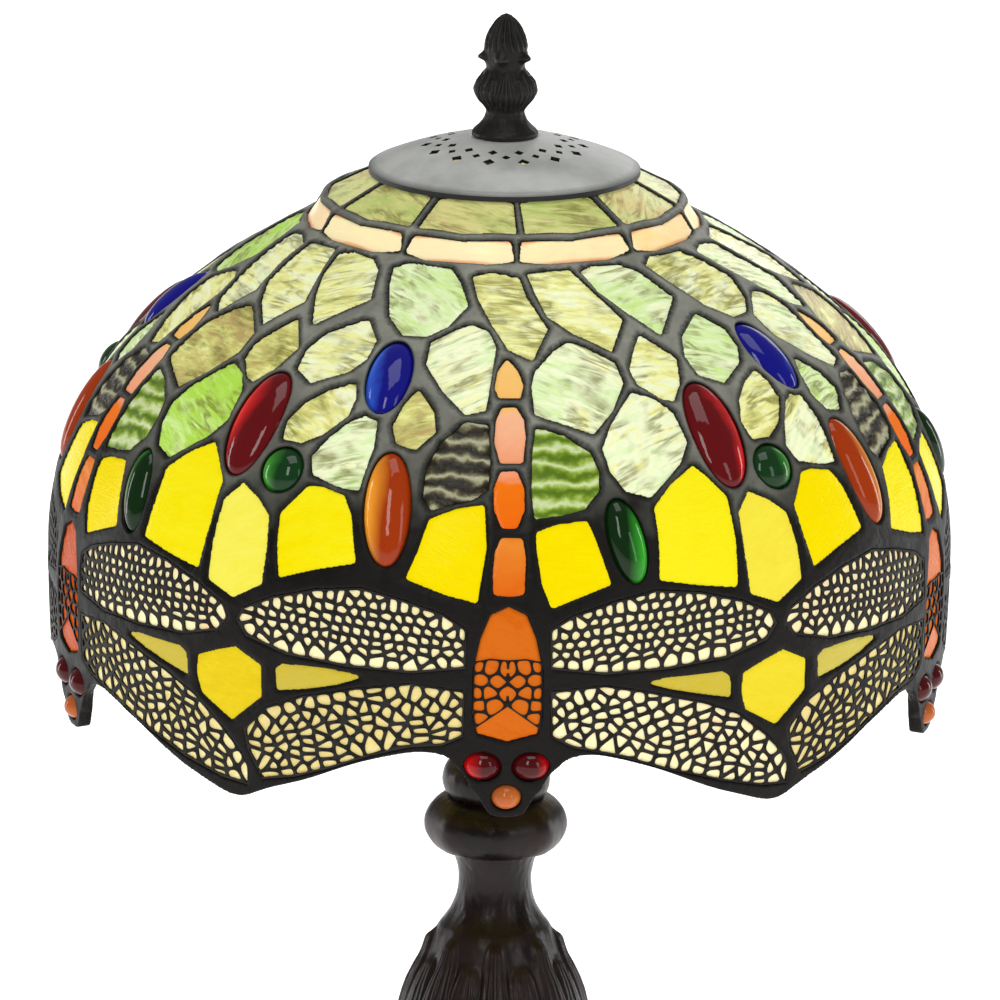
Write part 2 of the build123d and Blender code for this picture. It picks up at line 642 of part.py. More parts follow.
def build():
    nodes, openings = shade_glass()
    nodes["solder_lattice"] = solder_lattice(openings)
    nodes["aperture_ring"] = tube(ring_r, ring_r - ring_t, ring_z, ring_z + ring_h)
    nodes["spider_wheel"] = spider_wheel()
    nodes["heat_cap"] = heat_cap()
    nodes["finial"] = finial()
    nodes["seat_washer"] = tube(washer_r, stud_r + slide_gap, seat_top_z + 0.3, seat_top_z + 1.3)
    nodes["felt_pad"] = Pos(0, 0, foot_bottom_z / 2) * Cylinder(foot_r - 1, foot_bottom_z)
    nodes["foot_casting"] = foot_casting()
    nodes["cord_bushing"] = cord_bushing()
    nodes["foot_weight"] = foot_weight()
    nodes["weight_washer"] = tube(washer_r, hole_r, *weight_washer_z)
    nodes["weight_nut"] = hex_nut(*weight_nut_z, across_flats=16)
    nodes["threaded_pipe"] = tube(pipe_r, pipe_bore_r, *pipe_z)
    nodes["stem_casting"] = stem_casting()
    nodes["knop"] = knop()
    nodes["stem_cup"] = stem_cup()
    nodes["check_ring"] = tube(11, hole_r, cup_top_z, saddle_z)
    nodes["harp_saddle"] = harp_saddle()
    nodes["harp"] = harp()
    nodes["harp_seat"] = harp_seat()
    for name, side in (("front_ferrule", -1), ("rear_ferrule", 1)):
        nodes[name] = Pos(0, side * harp_leg_y, 0) * tube(
            3.5, harp_wire_r + 0.06, ferrule_z, ferrule_z + ferrule_h)
    nodes["socket_cap"] = socket_cap()
    nodes["socket_shell"] = socket_shell()
    nodes["socket_insulator"] = socket_insulator()
    nodes["screw_shell"] = screw_shell()
    nodes["socket_block"] = socket_block()
    nodes["centre_contact"] = centre_contact()
    nodes["switch_shaft"] = switch_shaft()
    nodes["switch_knob"] = switch_knob()
    nodes["bulb_glass"] = bulb_glass()
    nodes["bulb_base"] = bulb_base()
    nodes["bulb_contact"] = bulb_contact()
    nodes["bulb_filament"] = bulb_filament()
    return nodes


os.makedirs("parts", exist_ok=True)
for node_name, node_shape in build().items():
    export_step(node_shape, f"parts/{node_name}.step")
    print(node_name, len(node_shape.solids()), "solids")
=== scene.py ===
import json
import math
import random

import bmesh
import bpy
import numpy as np
from mathutils import Matrix, Vector, noise
from mathutils.bvhtree import BVHTree
from mathutils.geometry import delaunay_2d_cdt

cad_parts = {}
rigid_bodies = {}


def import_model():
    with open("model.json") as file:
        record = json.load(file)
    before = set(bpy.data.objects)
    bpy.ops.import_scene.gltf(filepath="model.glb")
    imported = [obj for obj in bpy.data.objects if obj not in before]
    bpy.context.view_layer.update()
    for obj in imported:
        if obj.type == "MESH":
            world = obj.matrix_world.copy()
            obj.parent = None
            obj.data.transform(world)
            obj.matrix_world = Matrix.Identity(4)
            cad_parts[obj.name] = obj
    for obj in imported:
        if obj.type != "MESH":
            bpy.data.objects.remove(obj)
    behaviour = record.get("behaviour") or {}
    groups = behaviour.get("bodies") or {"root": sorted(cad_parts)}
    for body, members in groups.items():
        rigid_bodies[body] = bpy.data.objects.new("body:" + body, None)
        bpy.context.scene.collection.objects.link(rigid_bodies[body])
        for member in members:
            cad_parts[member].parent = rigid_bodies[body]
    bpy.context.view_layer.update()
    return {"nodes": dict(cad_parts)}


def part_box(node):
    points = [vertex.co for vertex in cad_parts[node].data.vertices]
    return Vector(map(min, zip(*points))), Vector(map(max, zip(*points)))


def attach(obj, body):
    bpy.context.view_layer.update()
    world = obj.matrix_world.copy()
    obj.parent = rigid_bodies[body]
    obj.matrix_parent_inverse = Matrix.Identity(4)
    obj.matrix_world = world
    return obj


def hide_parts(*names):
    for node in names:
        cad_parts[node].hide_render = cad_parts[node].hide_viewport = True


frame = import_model()

MM = 0.001
REPEATS = 5
REPEAT_ANGLE = 2 * math.pi / REPEATS
nodes = frame["nodes"]
scene = bpy.context.scene
random.seed(7)


# ---- reading the frame --------------------------------------------------------------------------
def vertices_of(node):
    mesh = nodes[node].data
    points = np.zeros(len(mesh.vertices) * 3)
    mesh.vertices.foreach_get("co", points)
    return points.reshape(-1, 3)


GLASS_NODES = [name for name in nodes if name.endswith(("_panes", "_glass")) and name != "bulb_glass"]
JEWEL_NODES = [name for name in nodes if name.endswith("_jewels")]


def shade_profile():
    """Heights and radii of the glass's outer surface, read from the panes' own corners."""
    points = np.concatenate([vertices_of(name) for name in GLASS_NODES])
    radii = np.hypot(points[:, 0], points[:, 1])
    bins = np.round(points[:, 2] / (2 * MM)).astype(int)
    heights, outer = [], []
    for level in np.unique(bins):
        chosen = bins == level
        top = np.argmax(radii[chosen])
        heights.append(points[chosen][top, 2])
        outer.append(radii[chosen][top])
    order = np.argsort(heights)
    return np.array(heights)[order], np.array(outer)[order]


PROFILE_Z, PROFILE_R = shade_profile()
SKIRT_R = float(PROFILE_R.max())


def shade_radius(height):
    return np.interp(height, PROFILE_Z, PROFILE_R)


def parts_of(mesh):
    return [v.co.copy() for v in mesh.vertices], [list(p.vertices) for p in mesh.polygons]


def shifted(faces, offset):
    return [[i + offset for i in face] for face in faces]


def lathe_path(node, step=0.3 * MM):
    """The outer profile of a turned node, as (radius, height) points, found by rays towards its axis."""
    low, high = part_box(node)
    tree = BVHTree.FromPolygons(*parts_of(nodes[node].data))
    heading = Vector((math.cos(0.3), math.sin(0.3), 0))
    path = []
    count = int((high.z - low.z) / step)
    for index in range(count + 1):
        height = low.z + (high.z - low.z) * (0.002 + 0.996 * index / count)
        hit = tree.ray_cast(heading * 0.5 + Vector((0, 0, height)), -heading)[0]
        if hit:
            path.append((math.hypot(hit.x, hit.y), height))
    return path


def evenly_along(path, step):
    """The same profile with points a step apart along it, at heights that stay in order."""
    points = np.array(path)
    length = np.concatenate([[0], np.cumsum(np.hypot(*np.diff(points, axis=0).T))])
    places = np.linspace(0, length[-1], max(8, int(length[-1] / step)))
    return np.stack([np.interp(places, length, points[:, 0]), np.interp(places, length, points[:, 1])], 1)


# ---- making pieces ------------------------------------------------------------------------------
def linked(name, data):
    obj = bpy.data.objects.new(name, data)
    scene.collection.objects.link(obj)
    return obj


def piece(name, mesh, body, material, replaced=(), smooth=True):
    obj = linked(name, mesh)
    mesh.materials.clear()
    mesh.materials.append(material)
    if smooth:
        mesh.shade_smooth()
    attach(obj, body)
    if replaced:
        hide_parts(*replaced)
    return obj


def mesh_from(name, points, faces):
    mesh = bpy.data.meshes.new(name)
    mesh.from_pydata([tuple(p) for p in points], [], faces)
    mesh.update()
    mesh.validate()
    return mesh


def paint(node, material):
    """The material of a CAD node that is shown as it is."""
    mesh = nodes[node].data
    mesh.materials.clear()
    mesh.materials.append(material)


def add_remesh(obj, voxel, rounds):
    """An even fine mesh, then smoothing."""
    remesh = obj.modifiers.new("remesh", "REMESH")
    remesh.mode = "VOXEL"
    remesh.voxel_size = voxel
    smooth = obj.modifiers.new("smooth", "SMOOTH")
    smooth.factor = 0.5
    smooth.iterations = rounds
    return remesh


def soften(node, voxel, rounds):
    """Rounds a CAD node's edges with modifiers."""
    add_remesh(nodes[node], voxel, rounds).use_smooth_shade = True


def bevel_edges(obj, width, angle):
    """A small two-step bevel on the edges that turn by more than the angle."""
    bevel = obj.modifiers.new("soft_edge", "BEVEL")
    bevel.width = width
    bevel.segments = 2
    bevel.limit_method = "ANGLE"
    bevel.angle_limit = math.radians(angle)


def remeshed(mesh, voxel, rounds):
    """The mesh after an even voxel remesh and smoothing, as arrays of points, normals and faces."""
    holder = linked("holder", mesh)
    add_remesh(holder, voxel, rounds)
    result = bpy.data.meshes.new_from_object(holder.evaluated_get(bpy.context.evaluated_depsgraph_get()))
    count = len(result.vertices)
    points, normals = np.zeros(count * 3), np.zeros(count * 3)
    result.vertices.foreach_get("co", points)
    result.vertices.foreach_get("normal", normals)
    faces = [tuple(face.vertices) for face in result.polygons]
    bpy.data.objects.remove(holder)
    bpy.data.meshes.remove(result)
    bpy.data.meshes.remove(mesh)
    return points.reshape(-1, 3), normals.reshape(-1, 3), faces


def split_islands(node):
    """The separate solids of a node, as new meshes in the node's own order."""
    source = bmesh.new()
    source.from_mesh(nodes[node].data)
    bmesh.ops.remove_doubles(source, verts=source.verts, dist=1e-6)
    source.verts.index_update()
    seen = set()
    meshes = []
    for start in source.verts:
        if start in seen:
            continue
        stack, group = [start], []
        seen.add(start)
        while stack:
            vertex = stack.pop()
            group.append(vertex)
            for edge in vertex.link_edges:
                other = edge.other_vert(vertex)
                if other not in seen:
                    seen.add(other)
                    stack.append(other)
        index = {vertex: place for place, vertex in enumerate(group)}
        faces = {face for vertex in group for face in vertex.link_faces}
        faces = sorted(faces, key=lambda face: face.index)
        meshes.append(mesh_from(f"{node}_{len(meshes)}", [v.co.copy() for v in group],
                                [[index[v] for v in face.verts] for face in faces]))
    source.free()
    return meshes


def angle_round(point):
    """Angle about the lamp's axis from its front, to the right seen from outside."""
    return math.atan2(point[0], -point[1])


def panel_of(angle):
    return round(angle / REPEAT_ANGLE) % REPEATS


def turned_copies(points, faces):
    """The mesh repeated for every panel."""
    all_points, all_faces = [], []
    for turn in range(REPEATS):
        spin = Matrix.Rotation(turn * REPEAT_ANGLE, 3, "Z")
        all_faces += shifted(faces, len(all_points))
        all_points += [spin @ Vector(p) for p in points]
    return all_points, all_faces


def paint_points(mesh, name, values):
    layer = mesh.attributes.new(name, "FLOAT", "POINT")
    layer.data.foreach_set("value", np.asarray(values, dtype=np.float32))


# ---- materials ----------------------------------------------------------------------------------
class Shader:
    """A short way to write a node material."""

    def __init__(self, name):
        self.material = bpy.data.materials.new(name)
        self.material.use_nodes = True
        self.tree = self.material.node_tree
        self.principled = self.tree.nodes["Principled BSDF"]
        self.where = self.add("ShaderNodeTexCoord").outputs["Object"]

    def add(self, kind, inputs=None, **settings):
        node = self.tree.nodes.new(kind)
        for key, value in settings.items():
            setattr(node, key, value)
        for key, value in (inputs or {}).items():
            self.put(node.inputs[key], value)
        return node

    def put(self, socket, value):
        if isinstance(value, bpy.types.NodeSocket):
            self.tree.links.new(value, socket)
        else:
            socket.default_value = value

    def set(self, **values):
        for key, value in values.items():
            self.put(self.principled.inputs[key.replace("_", " ")], value)
        return self

    def noise(self, scale, detail=4, roughness=0.55, stretch=(1, 1, 1), distortion=0, vector=None):
        vector = self.where if vector is None else vector
        mapping = self.add("ShaderNodeMapping", {"Vector": vector, "Scale": stretch})
        node = self.add("ShaderNodeTexNoise", {
            "Vector": mapping.outputs[0], "Scale": scale, "Detail": detail, "Roughness": roughness,
            "Distortion": distortion})
        return node.outputs["Fac"]

    def ramp(self, factor, stops):
        node = self.add("ShaderNodeValToRGB", {"Fac": factor})
        elements = node.color_ramp.elements
        while len(elements) < len(stops):
            elements.new(0.5)
        for element, (place, colour) in zip(elements, stops):
            element.position = place
            element.color = (*colour, 1)
        return node.outputs["Color"]

    def mix(self, factor, low, high, blend="MIX"):
        node = self.add("ShaderNodeMix", data_type="RGBA", blend_type=blend)
        self.put(node.inputs["Factor"], factor)
        for socket, value in ((node.inputs[6], low), (node.inputs[7], high)):
            self.put(socket, value if isinstance(value, bpy.types.NodeSocket) else (*value, 1))
        return node.outputs[2]

    def math(self, operation, *values):
        node = self.add("ShaderNodeMath", operation=operation)
        for index, value in enumerate(values):
            self.put(node.inputs[index], value)
        return node.outputs[0]

    def total(self, *values):
        return self.math("ADD", *values)

    def times(self, value, factor):
        return self.math("MULTIPLY", value, factor)

    def swing(self, pattern, amount):
        """A pattern from 0 to 1 as plus or minus half the amount."""
        return self.times(self.math("SUBTRACT", pattern, 0.5), amount)

    def spread(self, factor, low, high, to_low=0.0, to_high=1.0):
        node = self.add("ShaderNodeMapRange", {
            "Value": factor, "From Min": low, "From Max": high, "To Min": to_low, "To Max": to_high})
        return node.outputs[0]

    def height(self):
        return self.add("ShaderNodeSeparateXYZ", {0: self.where}).outputs["Z"]

    def painted(self, name):
        """A value that is written on the mesh's points."""
        return self.add("ShaderNodeAttribute", attribute_name=name).outputs["Fac"]

    def attribute_vector(self):
        """The sheet's own flat coordinates in millimetres, turned to its grain."""
        flat = {"X": self.painted("along"), "Y": self.painted("across"), "Z": self.painted("sheet")}
        return self.add("ShaderNodeCombineXYZ", flat).outputs[0]

    def lit_glass(self, colour, body, roughness, gloss, painted_glow):
        """A sheet's dimmed face with a painted glow: emission that stands in for the light coming through it.
        """
        dim = self.mix(1.0, colour, (body, body, body), "MULTIPLY")
        self.set(Base_Color=dim, Roughness=roughness, Specular_IOR_Level=gloss, Emission_Color=colour,
                 Emission_Strength=painted_glow)

    def grain_noise(self, vector, scale, detail, stretch, distortion):
        return self.noise(scale, detail, 0.55, stretch, distortion, vector)

    def bumpy(self, height, strength, distance):
        """The finished material, with the height pattern as its relief."""
        node = self.add("ShaderNodeBump", {"Height": height, "Strength": strength, "Distance": distance})
        return self.set(Normal=node.outputs[0]).material


def sheet_glass(name, stops, vein=None, vein_amount=0.0, painted_glow=0.5, body=0.8, gloss=0.25,
                roughness=(0.12, 0.3)):
    """Rolled art glass: every sheet has its own tint and grain, with streaks along the grain."""
    s = Shader(name)
    grain = s.attribute_vector()
    tint = s.painted("tint")
    broad = s.grain_noise(grain, 0.11, 3, (0.45, 1, 1), 0.8)
    fine = s.grain_noise(grain, 0.42, 5, (0.3, 1, 1), 1.2)
    wander = s.total(s.swing(broad, 0.75), s.swing(fine, 0.5))
    colour = s.ramp(s.total(tint, wander), stops)
    if vein:
        line = s.math("ABSOLUTE", s.math("SUBTRACT", s.grain_noise(grain, 0.22, 4, (0.2, 1, 1), 0.5), 0.5))
        patch = s.spread(s.grain_noise(grain, 0.09, 2, (1, 1, 1), 0), 0.42, 0.6)
        amount = s.times(s.spread(line, 0.0, 0.09, vein_amount, 0), patch)
        colour = s.mix(amount, colour, vein)
    s.lit_glass(colour, body, s.spread(fine, 0.3, 0.7, *roughness), gloss, painted_glow)
    return s.bumpy(s.total(s.grain_noise(grain, 0.9, 3, (0.4, 1, 1), 0.5), s.times(fine, 2)), 0.3, 0.0006)


def jewel_glass(name, deep, pooled_light_colour, painted_glow):
    """Pressed glass: deep colour, with painted light pooled along its outer side, a painted glow and a wet
    gloss.
    """
    s = Shader(name)
    turn = s.painted("flank")
    pool = s.noise(45, 3, 0.5, (1, 1, 0.45), 0.5)
    # painted light: the pooled light colour is mixed in towards the outer flank, broken up by noise
    rim = s.total(s.times(turn, 0.9), s.swing(pool, 0.8))
    colour = s.mix(s.spread(rim, 0.5, 1.0), deep, pooled_light_colour)
    s.set(Base_Color=colour, Roughness=0.06, IOR=1.5, Specular_IOR_Level=0.2, Coat_Weight=0.1,
          Coat_Roughness=0.03, Emission_Color=colour, Emission_Strength=painted_glow)
    return s.bumpy(pool, 0.08, 0.001)


def cast_metal(name, low, high, metallic, roughness, gloss, grain=420):
    """Patinated cast metal: mottled, and lighter where worn on the ridges."""
    s = Shader(name)
    mottle = s.noise(60, 6, 0.6)
    pits = s.noise(grain, 4, 0.65)
    wear = s.add("ShaderNodeNewGeometry").outputs["Pointiness"]
    colour = s.mix(s.spread(mottle, 0.35, 0.7), low, high)
    ridge = tuple(min(1, 2.2 * c + 0.02) for c in high)
    colour = s.mix(s.spread(wear, 0.515, 0.58, 0, 0.6), colour, ridge)
    s.set(Base_Color=colour, Metallic=metallic, Roughness=s.spread(mottle, 0.3, 0.7, *roughness),
          Specular_IOR_Level=gloss)
    return s.bumpy(s.total(s.times(pits, 0.6), mottle), 0.25, 0.0006)


def lead_metal():
    """Patinated solder: grey high on the shade and near black low on it, with painted shade, near black, in the
    creases along the glass where each bead turns down.
    """
    s = Shader("patinated_solder")
    low, high = PROFILE_Z[0], PROFILE_Z[-1]
    dark_z = low + 0.50 * (high - low)
    grey_z = low + 0.74 * (high - low)
    bead = s.painted("bead")
    mottle = s.noise(90, 5, 0.6)
    patches = s.noise(28, 3, 0.6)
    level = s.spread(s.total(s.height(), s.swing(patches, 0.06)), dark_z, grey_z)
    crown = s.mix(mottle, (0.06, 0.062, 0.05), (0.40, 0.405, 0.34))
    skirt = s.mix(mottle, (0.003, 0.0025, 0.002), (0.010, 0.008, 0.007))
    colour = s.mix(level, skirt, crown)
    # painted shade: near black in the creases along the glass, fading to the solder's colour at the crown of
    # each bead
    colour = s.mix(s.spread(bead, 0.3, 1.0, 1, 0), colour, (0.005, 0.005, 0.004))
    s.set(Base_Color=colour, Metallic=0.0, Roughness=s.spread(mottle, 0.3, 0.7, 0.35, 0.55),
          Specular_IOR_Level=0.12)
    return s.bumpy(s.total(s.noise(330, 4, 0.6), s.times(mottle, 1.5)), 0.35, 0.0008)


def cap_metal():
    """Grey sprayed metal, with painted shade: black on the rolled lip, and near black on faces that turn
    sideways or down, inside and in the vents.
    """
    s = Shader("cap_metal")
    low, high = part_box("heat_cap")
    speck = s.noise(500, 4, 0.6)
    mottle = s.noise(45, 4, 0.6)
    face = s.mix(s.spread(mottle, 0.35, 0.65), (0.38, 0.39, 0.37), (0.56, 0.57, 0.54))
    # painted shadow: black along the rolled lip at the cap's lower edge
    painted_lip_shadow = s.spread(s.height(), low.z + 0.0012, low.z + 0.0032, 1, 0)
    colour = s.mix(painted_lip_shadow, face, (0.025, 0.025, 0.024))
    # painted shade: near black where the faces turn sideways or down, inside the cap and in the vents
    facing = s.add("ShaderNodeSeparateXYZ", {"Vector": s.add("ShaderNodeNewGeometry").outputs["True Normal"]})
    colour = s.mix(s.spread(facing.outputs["Z"], 0.15, 0.4, 1, 0), colour, (0.006, 0.006, 0.006))
    s.set(Base_Color=colour, Metallic=0.25, Roughness=s.spread(mottle, 0.3, 0.7, 0.42, 0.55))
    return s.bumpy(s.total(speck, s.times(mottle, 2)), 0.2, 0.0005)


def plain_metal(name, colour, roughness=0.28, metallic=1.0, brushed=(1, 1, 0.04)):
    s = Shader(name)
    lines = s.noise(700, 3, 0.5, brushed)
    stain = s.noise(70, 4)
    low = tuple(0.8 * c for c in colour)
    s.set(Base_Color=s.mix(stain, low, colour), Metallic=metallic,
          Roughness=s.spread(lines, 0.3, 0.7, roughness * 0.8, roughness * 1.3))
    return s.bumpy(lines, 0.08, 0.0004)


def dull(name, low, high, roughness=0.6, grain=500, strength=0.3):
    s = Shader(name)
    mottle = s.noise(grain, 4, 0.6)
    s.set(Base_Color=s.mix(mottle, low, high), Roughness=roughness)
    return s.bumpy(mottle, strength, 0.0005)


def band_glass():
    """The band's glass: cream, peach and gold sheets that turn orange along their edges."""
    stops = [(0.1, (1.0, 0.70, 0.42)), (0.4, (0.98, 0.86, 0.46)), (0.6, (0.98, 0.80, 0.50)),
             (0.85, (0.98, 0.66, 0.20))]
    s = Shader("band_glass")
    grain = s.attribute_vector()
    tint = s.painted("tint")
    haze = s.grain_noise(grain, 0.16, 4, (0.4, 1, 1), 1)
    sheet = s.ramp(s.total(tint, s.swing(haze, 0.5)), stops)
    edge = s.total(s.painted("edge"), s.times(haze, 0.3))
    colour = s.mix(s.spread(edge, 0.35, 0.62, 1, 0), sheet, (0.85, 0.26, 0.07))
    s.lit_glass(colour, 0.66, 0.2, 0.2, 0.42)
    return s.bumpy(haze, 0.3, 0.0008)


def tail_glass():
    """The tail's four glass pieces, peach at the tip and redder towards the thorax."""
    s = Shader("tail_glass")
    low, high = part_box("tail_panes")
    place = s.spread(s.height(), low.z, high.z)
    grain = s.attribute_vector()
    haze = s.grain_noise(grain, 0.2, 3, (0.5, 1, 1), 0.5)
    colour = s.ramp(s.total(place, s.swing(haze, 0.14)), [
        (0.0, (0.78, 0.13, 0.003)), (0.26, (0.86, 0.26, 0.03)), (0.3, (0.90, 0.15, 0.004)),
        (0.52, (0.92, 0.19, 0.006)), (0.56, (0.94, 0.34, 0.17)), (0.78, (0.97, 0.50, 0.28)),
        (0.82, (0.98, 0.52, 0.12)), (1.0, (0.98, 0.60, 0.18))])
    s.lit_glass(colour, 0.52, 0.16, 0.08, 0.44)
    return s.bumpy(haze, 0.25, 0.0008)


def striped_glass():
    """Ring-mottled glass with cross bands, green on one side of the tail and brown on the other."""
    s = Shader("striped_glass")
    grain = s.attribute_vector()
    tint = s.painted("tint")
    bands = s.add("ShaderNodeTexWave", {
        "Vector": grain, "Scale": 0.05, "Distortion": 5.0, "Detail": 4.0, "Detail Scale": 2.6},
        bands_direction="Y").outputs["Fac"]
    fine = s.grain_noise(grain, 0.5, 4, (0.35, 1, 1), 1)
    place = s.total(s.times(bands, 0.8), s.times(fine, 0.25))
    green = s.ramp(place, [(0.1, (0.10, 0.19, 0.01)), (0.4, (0.24, 0.38, 0.03)), (0.7, (0.45, 0.60, 0.13)),
                           (0.95, (0.74, 0.86, 0.46))])
    brown = s.ramp(place, [(0.1, (0.012, 0.01, 0.006)), (0.45, (0.05, 0.04, 0.018)),
                           (0.75, (0.20, 0.18, 0.09)), (0.95, (0.50, 0.50, 0.32))])
    colour = s.mix(tint, green, brown)
    s.lit_glass(colour, 0.55, 0.25, 0.15, 0.3)
    return s.bumpy(s.total(bands, fine), 0.35, 0.001)


GREEN = sheet_glass("green_glass", [
    (0.04, (0.42, 0.70, 0.07)), (0.20, (0.56, 0.78, 0.22)), (0.36, (0.70, 0.85, 0.45)),
    (0.50, (0.86, 0.90, 0.60)), (0.62, (0.84, 0.84, 0.34)), (0.76, (0.62, 0.60, 0.18)),
    (0.92, (0.46, 0.34, 0.12))],
    (0.20, 0.19, 0.04), 0.85, painted_glow=0.43, body=0.66, gloss=0.25)
CROWN = sheet_glass("crown_glass", [
    (0.1, (0.46, 0.56, 0.15)), (0.35, (0.70, 0.66, 0.26)), (0.55, (0.74, 0.48, 0.22)),
    (0.8, (0.70, 0.74, 0.30))],
    (0.20, 0.15, 0.04), 0.75, painted_glow=0.38, body=0.66)
YELLOW = sheet_glass("yellow_glass", [
    (0.2, (0.97, 0.76, 0.0)), (0.5, (0.98, 0.80, 0.0)), (0.8, (0.98, 0.86, 0.01))],
    painted_glow=0.56, body=0.42, gloss=0.04, roughness=(0.1, 0.18))
PALE = sheet_glass("pale_yellow_glass", [
    (0.1, (0.94, 0.76, 0.05)), (0.5, (0.96, 0.85, 0.06)), (0.9, (0.98, 0.91, 0.12))],
    painted_glow=0.56, body=0.42, gloss=0.04, roughness=(0.1, 0.2))
WEDGE = sheet_glass("wedge_glass", [
    (0.1, (0.86, 0.66, 0.05)), (0.5, (0.84, 0.68, 0.10)), (0.9, (0.90, 0.78, 0.16))],
    painted_glow=0.42, body=0.34, gloss=0.06)
GOLD = sheet_glass("gold_glass", [
    (0.2, (0.86, 0.62, 0.01)), (0.5, (0.92, 0.70, 0.015)), (0.8, (0.94, 0.76, 0.03))],
    painted_glow=0.53, body=0.42, gloss=0.04, roughness=(0.1, 0.2))
CREAM = sheet_glass("cream_glass", [
    (0.2, (0.72, 0.58, 0.22)), (0.45, (0.84, 0.74, 0.38)), (0.65, (0.90, 0.80, 0.46)),
    (0.9, (0.90, 0.66, 0.36))],
    painted_glow=0.46)
ORANGE = sheet_glass("orange_glass", [
    (0.2, (0.70, 0.09, 0.0)), (0.5, (0.80, 0.12, 0.002)), (0.8, (0.88, 0.19, 0.01))],
    painted_glow=0.42, body=0.38, gloss=0.05)
LEAD = lead_metal()
BLACK_SHEET = cast_metal("black_pierced_metal", (0.002, 0.002, 0.0015), (0.007, 0.006, 0.005), 0.0,
                         (0.4, 0.6), 0.1)
BRONZE = cast_metal("dark_bronze", (0.004, 0.0018, 0.0018), (0.017, 0.0075, 0.007), 0.1, (0.24, 0.4), 0.26)
FINIAL = cast_metal("finial_metal", (0.004, 0.0035, 0.003), (0.016, 0.014, 0.012), 0.05, (0.35, 0.55), 0.2)
PEWTER = cap_metal()
BRASS = plain_metal("brass", (0.72, 0.50, 0.20))
AGED_BRASS = plain_metal("aged_brass", (0.012, 0.010, 0.007), 0.5, 0.3)
STEEL = plain_metal("steel", (0.55, 0.55, 0.55))
IRON = dull("raw_iron", (0.03, 0.03, 0.03), (0.09, 0.085, 0.08), 0.65)
FELT = dull("felt", (0.012, 0.03, 0.014), (0.03, 0.06, 0.03), 0.95, 1400, 0.8)
PLASTIC = dull("black_plastic", (0.01, 0.01, 0.01), (0.02, 0.02, 0.02), 0.3, 300, 0.06)
CARD = dull("fibre", (0.22, 0.16, 0.09), (0.36, 0.28, 0.17), 0.8, 900, 0.4)


# ---- the shade's solder -------------------------------------------------------------------------
def outward(points):
    """Directions straight out of the shade's wall at the points."""
    steps = 4 * MM
    slope = (shade_radius(points[:, 2] + steps) - shade_radius(points[:, 2] - steps)) / (2 * steps)
    radius = np.hypot(points[:, 0], points[:, 1])
    lines = np.stack([points[:, 0] / radius, points[:, 1] / radius, -slope], 1)
    return lines / np.linalg.norm(lines, axis=1)[:, None]


def level_beside(out):
    """The level direction to the right of an outward one."""
    right = np.cross((0, 0, 1), out)
    return right / np.linalg.norm(right)


def tree_of(objects):
    """A search tree over the faces of the objects, to measure distances to."""
    points, faces = [], []
    for obj in objects:
        own_points, own_faces = parts_of(obj.data)
        faces += shifted(own_faces, len(points))
        points += own_points
    return BVHTree.FromPolygons(points, faces)


def rolled_and_polished():
    return [obj for obj in scene.objects
            if obj.name.endswith("_polished") or "_panes_" in obj.name or obj.name.endswith("_glass_rolled")]


def room_beside(points, sideways):
    """How far each point of a pane's rim may spread under the solder, leaving a line between panes."""
    probe, line, most = 2.2 * MM, 1.3 * MM, 1.4 * MM
    reach = np.zeros(len(points))
    for index in np.flatnonzero((sideways ** 2).sum(1) > 0.1):
        here = Vector(points[index] + probe * sideways[index] / np.linalg.norm(sideways[index]))
        place, facing, _, away = CAD_GLASS.find_nearest(here)
        gap = probe + math.copysign(away, (here - place).dot(facing))
        reach[index] = min(most, max(0.15 * MM, (gap - line) / 2))
    return reach


def heads_drawn_in(points):
    """The plate round each dragonfly's head, drawn in to a narrow U below the eyes."""
    eye_low, eye_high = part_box("eye_jewels")
    chin_low, chin_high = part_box("chin_jewels")
    eye_z, chin_z = (eye_low.z + eye_high.z) / 2, (chin_low.z + chin_high.z) / 2
    angle = np.arctan2(points[:, 0], -points[:, 1])
    middle = np.round(angle / REPEAT_ANGLE) * REPEAT_ANGLE
    radius = np.hypot(points[:, 0], points[:, 1])
    reach = (angle - middle) * radius
    core = 5 * MM
    pull = 0.55 * np.clip((eye_z - points[:, 2]) / (eye_z - chin_z), 0, 1)
    drawn = np.sign(reach) * (core + (np.abs(reach) - core) * (1 - pull))
    reach = np.where((np.abs(reach) > core) & (np.abs(reach) < 20 * MM), drawn, reach)
    angle = middle + reach / radius
    return np.stack([radius * np.sin(angle), -radius * np.cos(angle), points[:, 2]], 1)


